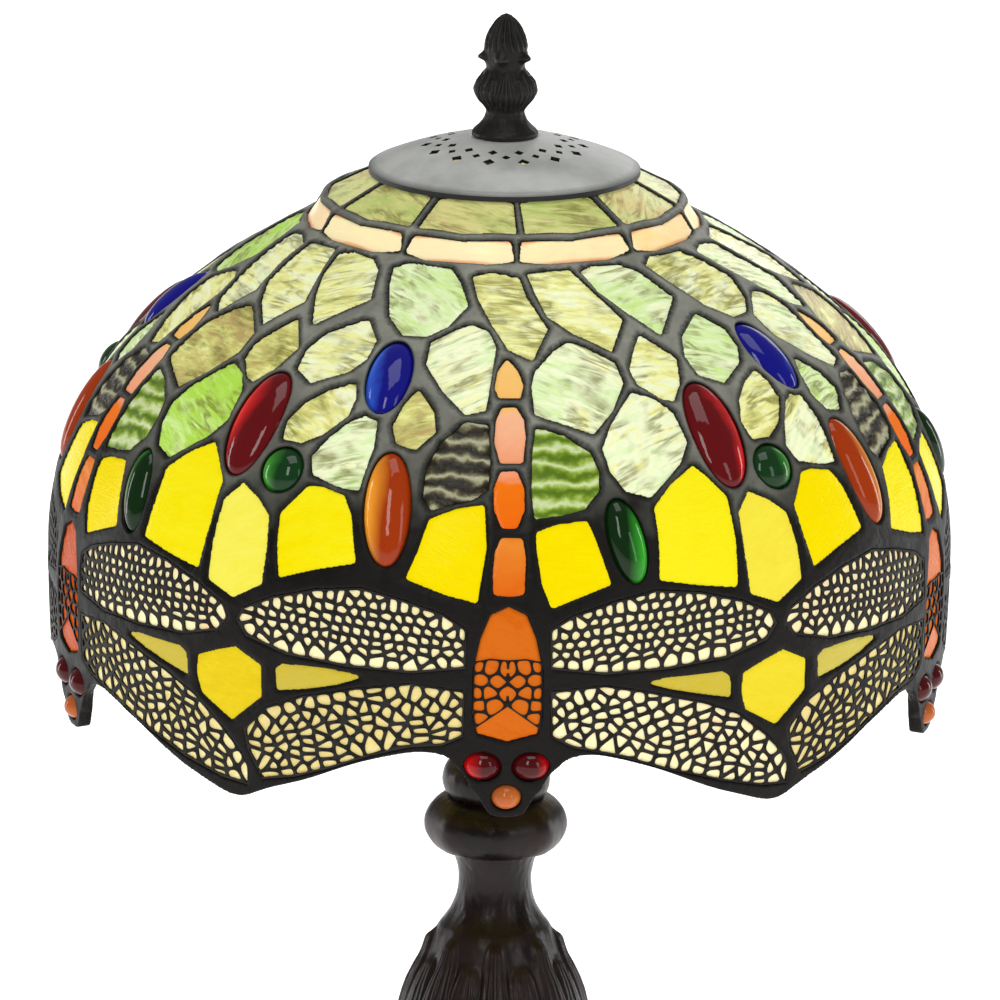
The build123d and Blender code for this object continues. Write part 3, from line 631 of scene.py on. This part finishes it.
def solder_beads():
    """The soldered web: a rounded bead along every joint, lumpy where the joints meet."""
    bead_width, bead_edge, bead_crown = 1.3 * MM, -0.25 * MM, 0.85 * MM
    proud = 0.5 * MM
    section, *others = split_islands("solder_lattice")
    for mesh in others:
        bpy.data.meshes.remove(mesh)
    points, normals, faces = remeshed(section, (0.52) * MM, 2)
    points = heads_drawn_in(points)
    lines = outward(points)
    lift = np.hypot(points[:, 0], points[:, 1]) - shade_radius(points[:, 2])
    outer = ((normals * lines).sum(1) > -0.2) & (lift > -1.5 * MM)
    tree = tree_of(rolled_and_polished())
    distance = np.full(len(points), bead_width)
    for index in np.flatnonzero(outer):
        here = Vector(points[index])
        place, facing, _, away = tree.find_nearest(here)
        distance[index] = away if (here - place).dot(facing) > 0 else 0
    near = np.clip(distance / bead_width, 0, 1)
    lumps = np.array([noise.noise(Vector(p) * 160) for p in points])
    height = bead_edge + (bead_crown - bead_edge) * np.sqrt(1 - (1 - near) ** 2) + 0.25 * MM * near * lumps
    points = points + np.where(outer, height - proud, 0)[:, None] * lines
    for turn in range(REPEATS):
        spin = np.array(Matrix.Rotation(turn * REPEAT_ANGLE, 3, "Z"))
        mesh = mesh_from(f"solder_beads_{turn}", points @ spin.T, faces)
        # bead runs from 0 along the glass to 1 at the crown; the solder material paints shade in the creases by
        # it
        paint_points(mesh, "bead", np.where(outer, near, 0))
        piece(f"solder_beads_{turn}", mesh, "shade", LEAD, ["solder_lattice"])


# ---- the shade's glass --------------------------------------------------------------------------
CAD_GLASS = tree_of([nodes[name] for name in GLASS_NODES + JEWEL_NODES])

# Tints run from 0, a bright green, through mint, near white and yellow to 1, a brown amber.
RIGHT_PANEL_TINTS = [0.62, 0.36, 0.58, 0.42, 0.50, 0.44, 0.57, 0.38, 0.68, 0.34, 0.52, 0.48]
LEFT_PANEL_TINTS = [0.58, 0.61, 0.36, 0.67, 0.50, 0.82, 0.76, 0.54, 0.66, 0.80, 0.40, 0.10]


def green_tint(number, panel):
    if panel == 0:
        return RIGHT_PANEL_TINTS[number]
    if panel == REPEATS - 1:
        return LEFT_PANEL_TINTS[number]
    return random.choice((0.15, 0.36, 0.42, 0.50, 0.56, 0.62, 0.72, 0.84))


def any_tint(number, panel):
    return random.uniform(0.15, 0.85)


def side_tint(number, panel):
    return number


def glass_sheets(node, material, kinds, voxel, wave, wavelength, tint=any_tint, split=False, lean=0.6,
                 under_solder=True):
    """Sheets of rolled glass in place of a node's panes, each with its own grain and ripples."""
    tuck = 0.2 * MM
    layers = ("along", "across", "sheet", "tint", "edge")
    groups = [{name: [] for name in ("points", "faces", *layers)} for _ in range(REPEATS if split else 1)]
    for number, mesh in enumerate(split_islands(node)):
        points, normals, faces = remeshed(mesh, voxel * MM * (1), 2)
        centre = points.mean(0)
        out = outward(centre[None])[0]
        sideways = normals - (normals @ out)[:, None] * out
        reach = room_beside(points, sideways) if under_solder else np.full(len(points), -tuck)
        points = points + tuck * normals + reach[:, None] * sideways
        right = level_beside(out)
        up = np.cross(out, right)
        turn = random.uniform(-lean, lean)
        flat_x, flat_y = (points - centre) @ right / MM, (points - centre) @ up / MM
        along = flat_x * math.cos(turn) + flat_y * math.sin(turn)
        across = flat_y * math.cos(turn) - flat_x * math.sin(turn)
        phase = random.uniform(0, 100)
        bend = 1.3 * np.sin(along / (1.9 * wavelength) + phase)
        bend += 0.8 * np.sin(along / (0.7 * wavelength) - phase)
        swell = 0.6 + 0.4 * np.sin(across / (2.6 * wavelength) + 0.4 * along / wavelength + phase)
        ripple = np.sin(2 * math.pi * across / wavelength + bend) * swell
        facing = np.clip((normals @ out - 0.5) / 0.4, 0, 1)
        points = points + (wave * MM * ripple * facing)[:, None] * out
        panel = (number // kinds) % REPEATS
        group = groups[panel if split else 0]
        group["faces"] += shifted(faces, len(group["points"]))
        group["points"] += [tuple(p) for p in points]
        span = (flat_y - flat_y.min()) / (flat_y.max() - flat_y.min())
        own = (along, across, [phase] * len(points), [tint(number % kinds, panel)] * len(points),
               1 - np.abs(2 * span - 1))
        for layer, values in zip(layers, own):
            group[layer] += list(values)
    for panel, group in enumerate(groups):
        name = node + (f"_{panel}" if split else "_rolled")
        mesh = mesh_from(name, group["points"], group["faces"])
        for layer in layers:
            paint_points(mesh, layer, group[layer])
        piece(name, mesh, "shade", material, [node])


def glass_panes():
    glass_sheets("green_field_panes", GREEN, 12, 0.85, 0.22, 3.2, green_tint, split=True)
    glass_sheets("striped_panes", striped_glass(), 2, 0.85, 0.35, 6.3, side_tint, lean=0.15)
    glass_sheets("yellow_petal_panes", YELLOW, 4, 1.0, 0.035, 9)
    glass_sheets("pale_petal_panes", PALE, 1, 1.0, 0.035, 9)
    glass_sheets("wing_wedge_panes", WEDGE, 2, 0.8, 0.04, 6)
    glass_sheets("hexagon_panes", GOLD, 1, 0.9, 0.04, 8)
    glass_sheets("orange_band_panes", band_glass(), 2, 0.8, 0.05, 7)
    glass_sheets("crown_panes", CROWN, 2, 0.85, 0.12, 3.4)
    glass_sheets("tail_panes", tail_glass(), 4, 0.7, 0.04, 5)
    glass_sheets("thorax_glass", ORANGE, 1, 0.8, 0.05, 6, lean=1.5, under_solder=False)
    glass_sheets("upper_wing_glass", CREAM, 2, 1.1, 0.05, 6, under_solder=False)
    glass_sheets("lower_wing_glass", CREAM, 2, 1.1, 0.05, 6, under_solder=False)


def cabochons(node, material):
    """The node's jewels with smooth domes; flank tells how far a point is towards the outer side."""
    points, faces, flank = [], [], []
    for mesh in split_islands(node):
        own, normals, sides = remeshed(mesh, (0.4) * MM, 5)
        own = own + 0.2 * MM * normals
        centre = own.mean(0)
        out = outward(centre[None])[0]
        right = level_beside(out)
        across = (own - centre) @ right
        reach = np.abs(across).max()
        side = 1 if angle_round(centre) > 0 else -1
        faces += shifted(sides, len(points))
        points += [tuple(p) for p in own]
        flank += list(0.5 + 0.5 * side * across / reach)
    mesh = mesh_from(node + "_polished", points, faces)
    paint_points(mesh, "flank", flank)
    piece(node + "_polished", mesh, "shade", material, [node])


JEWELS = {              # the glass's deep colour, the colour of the painted light pooled on its outer side, its painted glow, and the slot
    "red": ((0.085, 0.002, 0.003), (0.80, 0.008, 0.01), 0.35, "jewel_red"),
    "blue": ((0.004, 0.004, 0.15), (0.04, 0.16, 0.80), 0.35, "jewel_blue"),
    "amber": ((0.26, 0.026, 0.001), (1.0, 0.42, 0.03), 0.3, "jewel_amber"),
    "green_oval": ((0.002, 0.016, 0.002), (0.03, 0.36, 0.02), 0.25, "jewel_green"),
    "green_round": ((0.004, 0.03, 0.006), (0.06, 0.40, 0.03), 0.2, "jewel_green"),
    "eye": ((0.05, 0.001, 0.002), (0.55, 0.004, 0.006), 0.3, "jewel_red"),
    "chin": ((0.42, 0.10, 0.02), (0.55, 0.16, 0.03), 0.15, "jewel_amber"),
}


def jewels():
    for kind, (deep, pooled_light_colour, painted_glow, slot) in JEWELS.items():
        cabochons(kind + "_jewels", jewel_glass(kind + "_jewel", deep, pooled_light_colour, painted_glow))


# ---- pierced sheets on the wings ----------------------------------------------------------------
def border_edges(faces):
    """The edges that only one of the faces has, in the order they were met."""
    edges = {}
    for face in faces:
        for first, second in sides_of(face):
            if (second, first) in edges:
                del edges[(second, first)]
            else:
                edges[(first, second)] = True
    return list(edges)


def outer_loop(points, faces):
    """The outline of an island's outward face, as an ordered list of points."""
    outward = []
    for face in faces:
        a, b, c = (Vector(points[i]) for i in face[:3])
        normal = (b - a).cross(c - a)
        centre = (a + b + c) / 3
        radial = Vector((centre.x, centre.y, 0)).normalized()
        lift = math.hypot(centre.x, centre.y) - shade_radius(centre.z)
        if normal.length > 0 and normal.normalized().dot(radial) > 0.6 and lift > -1.2 * MM:
            outward.append(face)
    following = dict(border_edges(outward))
    start = next(iter(following))
    loop, place = [start], following[start]
    while place != start and len(loop) < 5000:
        loop.append(place)
        place = following[place]
    return [Vector(points[i]) for i in loop]


def wing_outlines(node):
    """Outlines of the node's pieces on the front panel, as flat (across, up) points in metres."""
    outlines = []
    for mesh in split_islands(node):
        points, faces = parts_of(mesh)
        if panel_of(angle_round(sum(points, Vector()))) == 0:
            loop = outer_loop(points, faces)
            outlines.append(thin_out([(SKIRT_R * angle_round(p), p.z) for p in loop]))
        bpy.data.meshes.remove(mesh)
    return outlines


def thin_out(loop):
    """The loop without the points that lie on a straight run."""
    kept = []
    count = len(loop)
    for index in range(count):
        before, here, after = (Vector(loop[(index + k) % count]) for k in (-1, 0, 1))
        first, second = here - before, after - here
        if first.length < 1e-6:
            continue
        if abs(first.x * second.y - first.y * second.x) > 0.02 * first.length * max(second.length, 1e-9):
            kept.append(tuple(here))
    return kept


def sides_of(loop):
    return zip(loop, loop[1:] + loop[:1])


def is_inside(point, loop):
    x, y = point
    inside = False
    for (x1, y1), (x2, y2) in sides_of(loop):
        if (y1 > y) != (y2 > y) and x < x1 + (y - y1) * (x2 - x1) / (y2 - y1):
            inside = not inside
    return inside


def edge_distance(point, loop):
    """How near the point is to the loop."""
    px, py = point
    gaps = []
    for (x1, y1), (x2, y2) in sides_of(loop):
        dx, dy = x2 - x1, y2 - y1
        along = max(0, min(1, ((px - x1) * dx + (py - y1) * dy) / max(dx * dx + dy * dy, 1e-12)))
        gaps.append(math.hypot(px - x1 - along * dx, py - y1 - along * dy))
    return min(gaps)


def clipped(cell, px, py, nx, ny):
    """The part of a convex cell on the inner side of the line through p with normal n."""
    result = []
    for (ax, ay), (bx, by) in sides_of(cell):
        da = (ax - px) * nx + (ay - py) * ny
        db = (bx - px) * nx + (by - py) * ny
        if da <= 0:
            result.append((ax, ay))
        if (da < 0 < db) or (db < 0 < da):
            along = da / (da - db)
            result.append((ax + along * (bx - ax), ay + along * (by - ay)))
    return result


def rounded(cell, rounds=2):
    """Corners cut twice, which turns a cell into a soft lozenge."""
    for _ in range(rounds):
        cut = []
        for (ax, ay), (bx, by) in sides_of(cell):
            cut.append((0.78 * ax + 0.22 * bx, 0.78 * ay + 0.22 * by))
            cut.append((0.22 * ax + 0.78 * bx, 0.22 * ay + 0.78 * by))
        cell = cut
    return cell


def area_of(loop):
    return abs(sum(ax * by - bx * ay for (ax, ay), (bx, by) in sides_of(loop))) / 2


def cells_in(loop, seeds, web):
    """Openings around the seeds: the space nearer to each than to any other, less half the web."""
    openings = []
    near, size = 5 * MM, 9 * MM
    square = [(-size, -size), (size, -size), (size, size), (-size, size)]
    for sx, sy in seeds:
        cell = [(sx + x, sy + y) for x, y in square]
        for (ax, ay), (bx, by) in sides_of(loop):
            length = math.hypot(bx - ax, by - ay)
            if edge_distance((sx, sy), [(ax, ay), (bx, by)]) > near:
                continue
            nx, ny = (by - ay) / length, -(bx - ax) / length
            cell = clipped(cell, ax - nx * web / 2, ay - ny * web / 2, nx, ny)
        for ox, oy in seeds:
            gap = math.hypot(ox - sx, oy - sy)
            if gap > 1e-9 and len(cell) > 2:
                nx, ny = (ox - sx) / gap, (oy - sy) / gap
                cell = clipped(cell, sx + nx * (gap - web) / 2, sy + ny * (gap - web) / 2, nx, ny)
        if area_of(cell) > 0.9 * MM * MM:
            openings.append(rounded(cell))
    return openings


def slot_shape(x, y, length, width):
    """A slot with soft ends, as a flat outline."""
    ring, corners = [], 12
    for step in range(corners):
        angle = 2 * math.pi * (step + 0.5) / corners
        c, d = math.cos(angle), math.sin(angle)
        a = length / 2 * math.copysign(abs(c) ** 0.55, c)
        b = width / 2 * math.copysign(abs(d) ** 0.7, d)
        ring.append((x + a, y + b))
    return ring


def row_of_seeds(loop, start, heading, pitch, jitter=0.45 * MM):
    """Middles for openings, one after another from start along a heading, unevenly spaced."""
    seeds = []
    x, y = start
    for _ in range(60):
        spot = (x, y + random.uniform(-jitter, jitter))
        if is_inside(spot, loop) and edge_distance(spot, loop) > 0.85 * MM:
            seeds.append(spot)
        step = pitch * random.uniform(0.72, 1.28)
        x += step * math.cos(heading)
        y += step * math.sin(heading)
    return seeds


def sheet_mesh(loop, openings, low, high):
    """A pierced sheet that lies on the shade: flat outline and openings, bent round and given thickness."""
    loops = [loop] + openings
    flat, edges = [], []
    for line in loops:
        start = len(flat)
        flat += [Vector(p) for p in line]
        edges += [(start + i, start + (i + 1) % len(line)) for i in range(len(line))]
    points, _, faces, _, _, _ = delaunay_2d_cdt(flat, edges, [], 0, 1e-7)
    kept = []
    for face in faces:
        centre = sum((points[i] for i in face), Vector((0, 0))) / len(face)
        if is_inside(centre, loop) and not any(is_inside(centre, hole) for hole in openings):
            kept.append(list(face))
    used = sorted({i for face in kept for i in face})
    index = {old: new for new, old in enumerate(used)}
    kept = [[index[i] for i in face] for face in kept]
    flat = [points[i] for i in used]
    count = len(flat)
    body = [bent(p, high) for p in flat] + [bent(p, low) for p in flat]
    all_faces = kept + [[i + count for i in reversed(face)] for face in kept]
    all_faces += [[second, first, first + count, second + count] for first, second in border_edges(kept)]
    return body, all_faces


def bent(point, lift):
    angle = point[0] / SKIRT_R
    radius = shade_radius(point[1]) + lift
    return Vector((radius * math.sin(angle), -radius * math.cos(angle), point[1]))


def upper_wing_openings(loop, side):
    """A row of long openings along the lower edge and rows of small ones above."""
    root, low = min(side * x for x, _ in loop), min(y for _, y in loop)
    high = max(y for _, y in loop)
    heading = math.radians(4) if side > 0 else math.radians(176)
    seeds = []
    y, row = low + 1.6 * MM, 0
    while y < high:
        pitch = (6.6, 5.0, 3.9)[min(row, 2)] * MM
        seeds += row_of_seeds(loop, (side * (root + (1.2 + 1.9 * (row % 2)) * MM), y), heading, pitch)
        y += (2.7 if row < 2 else 3.1) * MM
        row += 1
    return cells_in(loop, seeds, 1.25 * MM)


def lower_wing_openings(loop, side):
    """Rows of brick-like openings that run down and out along the wing."""
    root = min(side * x for x, _ in loop)
    low, high = min(y for _, y in loop), max(y for _, y in loop)
    slope = math.radians(-19)
    seeds = []
    y, row = low, 0
    while y < high + 18 * MM:
        start = (side * (root + (1.2 + 2.6 * (row % 2)) * MM), y)
        seeds += row_of_seeds(loop, start, slope if side > 0 else math.pi - slope, 5.8 * MM, 0.2 * MM)
        y += 3.0 * MM
        row += 1
    return cells_in(loop, seeds, 1.15 * MM)


def thorax_net(loop):
    """The net across the thorax: its own outline, between the plain bell and the wedge, and its openings."""
    low, high = min(y for _, y in loop), max(y for _, y in loop)
    half = max(x for x, _ in loop)

    def place(x, y):
        return x * half, low + y * (high - low)

    net = [place(*p) for p in (
        (-0.97, 0.60), (-0.99, 0.45), (-1.0, 0.25), (-0.93, 0.10), (0, 0.27), (0.93, 0.10), (1.0, 0.25),
        (0.99, 0.45), (0.97, 0.60), (0.5, 0.625), (0, 0.615), (-0.5, 0.625))]
    sides = [(0.52, 0.555), (0.84, 0.57), (0.29, 0.455), (0.78, 0.465), (0.54, 0.37), (0.88, 0.365),
             (0.42, 0.28), (0.84, 0.27), (0.86, 0.185)]
    seeds = [place(side * x, y) for x, y in sides for side in (1, -1)]
    middle_seeds = [place(0, 0.53), place(0, 0.375)]
    halves = ([net[i] for i in (4, 5, 6, 7, 8, 9, 10)], [net[i] for i in (10, 11, 0, 1, 2, 3, 4)])
    openings = []
    for part, sign in zip(halves, (1, -1)):
        own = [seed for seed in seeds if sign * seed[0] > 0] + middle_seeds
        for ring in cells_in(part, own, 0.8 * MM):
            if sign * sum(x for x, _ in ring) / len(ring) > 0.1 * half:
                openings.append(ring)
    openings.append(slot_shape(*place(0, 0.535), 2.4 * MM, 1.5 * MM))
    openings.append(slot_shape(*place(0, 0.385), 1.7 * MM, 3.4 * MM))
    return net, openings


def pierced_sheet(name, outlines):
    """One pierced sheet for every panel, from flat outlines with their openings."""
    points, faces = [], []
    for loop, openings in outlines:
        body, sides = sheet_mesh(loop, openings, -0.3 * MM, 0.8 * MM)
        faces += shifted(sides, len(points))
        points += body
    mesh = mesh_from(name, *turned_copies(points, faces))
    sheet = piece(name + "_pierced_sheet", mesh, "shade", BLACK_SHEET, [name + "_filigree"],
                  smooth=False)
    bevel_edges(sheet, 0.22 * MM, 50)


def pierced_sheets():
    for name, cut in (("upper_wing", upper_wing_openings), ("lower_wing", lower_wing_openings)):
        loops = wing_outlines(name + "_glass")
        pierced_sheet(name, [(loop, cut(loop, 1 if sum(x for x, _ in loop) > 0 else -1)) for loop in loops])
    pierced_sheet("thorax", [thorax_net(loop) for loop in wing_outlines("thorax_glass")])


# ---- turned and cast pieces ---------------------------------------------------------------------
def cast_piece(name, path, body, material, node, relief, around):
    """A turned profile with relief in its surface: relief(angle, height) in metres, outwards."""
    axis_gap = 0.1 * MM
    slopes = np.gradient(path, axis=0)
    slopes /= np.maximum(np.hypot(slopes[:, 0], slopes[:, 1])[:, None], 1e-9)
    points, faces = [], []
    for (radius, height), (dr, dz) in zip(path, slopes):
        for turn in range(around):
            angle = 2 * math.pi * turn / around
            out = relief(angle, height)
            r = max(radius + out * dz, axis_gap)
            points.append((r * math.sin(angle), -r * math.cos(angle), height - out * dr))
    ring = [(turn, (turn + 1) % around) for turn in range(around)]
    last = (len(path) - 1) * around
    for start in range(0, last, around):
        faces += [[start + a, start + b, start + b + around, start + a + around] for a, b in ring]
    low, high = len(points), len(points) + 1
    points += [(0, 0, path[0][1]), (0, 0, path[-1][1])]
    faces += [[low, b, a] for a, b in ring] + [[high, last + a, last + b] for a, b in ring]
    return piece(name, mesh_from(name, points, faces), body, material, [node])


def finial_path(step):
    """The finial from its flange up: (height, radius) in millimetres, drawn through softly."""
    corners = [(0, 11.0), (1.5, 11.1), (3.0, 9.2), (5.2, 7.3), (8.2, 6.2), (10.5, 7.6), (13, 10.0),
               (15.6, 10.9), (18.6, 9.8), (21.2, 7.6), (23.2, 6.3), (25, 6.5), (27.5, 7.0), (30.5, 7.1),
               (33.5, 6.4), (36.4, 5.1), (39, 3.3), (40.6, 1.7), (41.2, 0.2)]
    low, high = FINIAL_SPAN
    scale = (high - low) / corners[-1][0]
    heights = np.linspace(0, corners[-1][0], 400)
    radii = np.interp(heights, *zip(*corners))
    soft = np.convolve(np.pad(radii, 9, mode="edge"), np.ones(19) / 19, mode="valid")
    soft[:12], soft[-9:] = radii[:12], radii[-9:]
    return evenly_along(np.stack([soft * MM, low + heights * scale], 1), step)


def smoothstep(value, low, high):
    t = max(0.0, min(1.0, (value - low) / (high - low)))
    return t * t * (3 - 2 * t)


def leaf(angle, height, count, tip, length, thick, shift=0.0):
    """Height of a ring of upright pointed leaves with a midrib and folds; tip is their top."""
    pitch = 2 * math.pi / count
    across = ((angle + shift * pitch + pitch / 2) % pitch - pitch / 2) / (pitch / 2)
    down = (tip - height) / length
    if down <= 0:
        return 0.0
    width = min(1.0, 0.16 + 0.95 * math.sqrt(min(1.0, down)))
    lobes = 0.05 * math.sin(down * 26)
    place = abs(across) / (width + lobes)
    if place >= 1:
        return 0.0
    body = (1 - place ** 4) * smoothstep(down, 0, 0.05)
    rib = math.exp(-(across / 0.09) ** 2)
    folds = 0.5 + 0.5 * math.cos(across * 5.5 * math.pi / max(width, 0.3))
    curl = math.exp(-(down / 0.12) ** 2)
    return thick * (0.55 * body + 0.3 * body * folds + 0.25 * rib * body + 0.25 * curl * body)


def rough_skin(angle, height, depth, coarse=8, fine=300):
    """The uneven skin of a casting."""
    place = Vector((coarse * math.sin(angle), coarse * math.cos(angle), height * fine))
    return depth * MM * noise.noise(place)


def stem_relief(angle, height):
    low, high = STEM_SPAN
    tall = high - low
    tip = low + 0.80 * tall
    front = leaf(angle, height, 8, tip, 0.75 * tall, 1.9 * MM)
    back = leaf(angle, height, 8, tip - 0.05 * tall, 0.6 * tall, 1.2 * MM, 0.5)
    fade = smoothstep(height, low, low + 0.14 * tall)
    ground = 1.8 * MM * smoothstep(tip - height, 0, 0.08 * tall)
    return (max(front, back) - ground) * fade + rough_skin(angle, height, 0.12)


def knop_relief(angle, height):
    low, high = KNOP_SPAN
    along = (height - low) / (high - low)
    lobes = 0.45 * MM * math.cos(8 * angle) * math.sin(math.pi * along)
    return lobes + rough_skin(angle, height, 0.1)


def cup_relief(angle, height):
    return rough_skin(angle, height, 0.12)


def finial_relief(angle, height):
    low, high = FINIAL_SPAN
    tall = high - low
    along = (height - low) / tall
    on_bulb = smoothstep(along, 0.17, 0.26) * (1 - smoothstep(along, 0.48, 0.57))
    leaves = leaf(angle, height, 6, low + 0.56 * tall, 0.40 * tall, 1.0 * MM)
    back = leaf(angle, height, 6, low + 0.50 * tall, 0.34 * tall, 0.6 * MM, 0.5)
    bulb = (max(leaves, back) - 0.6 * MM) * on_bulb
    tips = abs(math.cos(2.5 * angle + 0.6)) ** 4
    curl = 1.9 * MM * tips * math.exp(-((along - 0.655) / 0.028) ** 2)
    cup = 0.7 * MM * tips * smoothstep(along, 0.55, 0.63) * (1 - smoothstep(along, 0.66, 0.74))
    ribs = 0.30 * MM * math.cos(20 * angle + 2.4 * math.sin(9 * along)) * smoothstep(along, 0.68, 0.76)
    ribs *= 1 - smoothstep(along, 0.92, 1.0)
    return bulb + curl + cup + ribs + rough_skin(angle, height, 0.16, 6, 500)


def spans(node):
    low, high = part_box(node)
    return low.z, high.z


STEM_SPAN, KNOP_SPAN, FINIAL_SPAN = map(spans, ("stem_casting", "knop", "finial"))


def castings():
    for name, node, step, relief, around in (("leafed_stem", "stem_casting", 0.7, stem_relief, 360),
                                             ("lobed_knop", "knop", 0.6, knop_relief, 240),
                                             ("stem_bead", "stem_cup", 0.6, cup_relief, 200)):
        path = evenly_along(lathe_path(node), step * MM)
        cast_piece(name, path, "base", BRONZE, node, relief, around)
    cast_piece("leaf_bud_finial", finial_path(0.3 * MM), "finial", FINIAL, "finial",
               finial_relief, 240)
    paint("foot_casting", BRONZE)
    soften("foot_casting", 1.0 * MM, 3)
    paint("heat_cap", PEWTER)
    bevel_edges(nodes["heat_cap"], 0.3 * MM, 35)


def fittings():
    looks = {
        BRASS: ["check_ring", "harp_saddle", "harp", "harp_seat", "front_ferrule", "rear_ferrule", "socket_cap",
                "socket_shell", "screw_shell", "centre_contact", "switch_shaft", "seat_washer", "bulb_base"],
        AGED_BRASS: ["spider_wheel", "aperture_ring"],
        STEEL: ["weight_washer", "weight_nut", "threaded_pipe", "bulb_contact", "bulb_filament"],
        IRON: ["foot_weight"],
        FELT: ["felt_pad"],
        PLASTIC: ["cord_bushing", "socket_block", "switch_knob"],
        CARD: ["socket_insulator"],
    }
    for material, names in looks.items():
        for name in names:
            paint(name, material)
    frosted = Shader("frosted_bulb")
    haze = frosted.noise(200, 3)
    frosted.set(Base_Color=frosted.mix(haze, (0.74, 0.74, 0.72), (0.82, 0.82, 0.79)), Roughness=0.45,
                Transmission_Weight=0.35, IOR=1.45)
    paint("bulb_glass", frosted.bumpy(haze, 0.1, 0.0004))


# ---- camera, floor and light --------------------------------------------------------------------
def camera():
    """Looks down about 15 degrees from 3.2 m away, a little to the left of the front dragonfly."""
    away, height = 3.206, 1.159
    pitch, roll, side = (math.radians(angle) for angle in (14.826, 0.775, -1.26))
    data = bpy.data.cameras.new("camera")
    data.lens = 353.9
    data.clip_end = 50
    obj = linked("camera", data)
    forward = Vector((-math.sin(side) * math.cos(pitch), math.cos(side) * math.cos(pitch), -math.sin(pitch)))
    level = Vector((math.cos(side), math.sin(side), 0))
    upright = level.cross(forward)
    right = level * math.cos(roll) + upright * math.sin(roll)
    up = upright * math.cos(roll) - level * math.sin(roll)
    turn = Matrix((right, up, -forward)).transposed()
    place = (away * math.sin(side), -away * math.cos(side), height)
    obj.matrix_world = Matrix.Translation(place) @ turn.to_4x4()
    scene.camera = obj


def floor():
    size = 14.0
    mesh = mesh_from("floor", [(-size, -size, 0), (size, -size, 0), (size, size, 0), (-size, size, 0)],
                     [[0, 1, 2, 3]])
    shader = Shader("pale_floor")
    grain = shader.noise(3, 2)
    shader.set(Base_Color=shader.mix(grain, (0.93, 0.93, 0.93), (0.95, 0.95, 0.95)), Roughness=0.9,
               Emission_Color=(1, 1, 1, 1), Emission_Strength=0.8)
    mesh.materials.append(shader.material)
    obj = linked("floor", mesh)


def lights():
    middle = Vector((0, 0, 0.3))
    for name, place, size, power in (
            ("key", (-0.7, -2.3, 2.0), (0.5, 1.5), 20), ("fill", (1.7, -1.8, 1.1), (0.5, 1.5), 9),
            ("top", (0.1, -0.3, 2.3), (1.2, 1.2), 14), ("rim", (0.6, 2.2, 1.0), (1.6, 1.0), 8),
            ("left_edge", (-1.7, 0.7, 0.45), (0.25, 1.0), 5), ("right_edge", (1.7, 0.7, 0.45), (0.25, 1.0), 5)):
        data = bpy.data.lights.new(name, "AREA")
        data.shape = "RECTANGLE"
        data.size, data.size_y = size
        data.energy = power
        turn = (middle - Vector(place)).to_track_quat("-Z", "Y").to_matrix()
        linked(name, data).matrix_world = Matrix.Translation(place) @ turn.to_4x4()
    world = bpy.data.worlds.new("studio")
    world.use_nodes = True
    background = world.node_tree.nodes["Background"].inputs
    background["Color"].default_value = (1, 1, 1, 1)
    background["Strength"].default_value = 0.26
    scene.world = world
    scene.view_settings.view_transform = "Standard"


camera()
floor()
lights()
glass_panes()
jewels()
solder_beads()
pierced_sheets()
castings()
fittings()
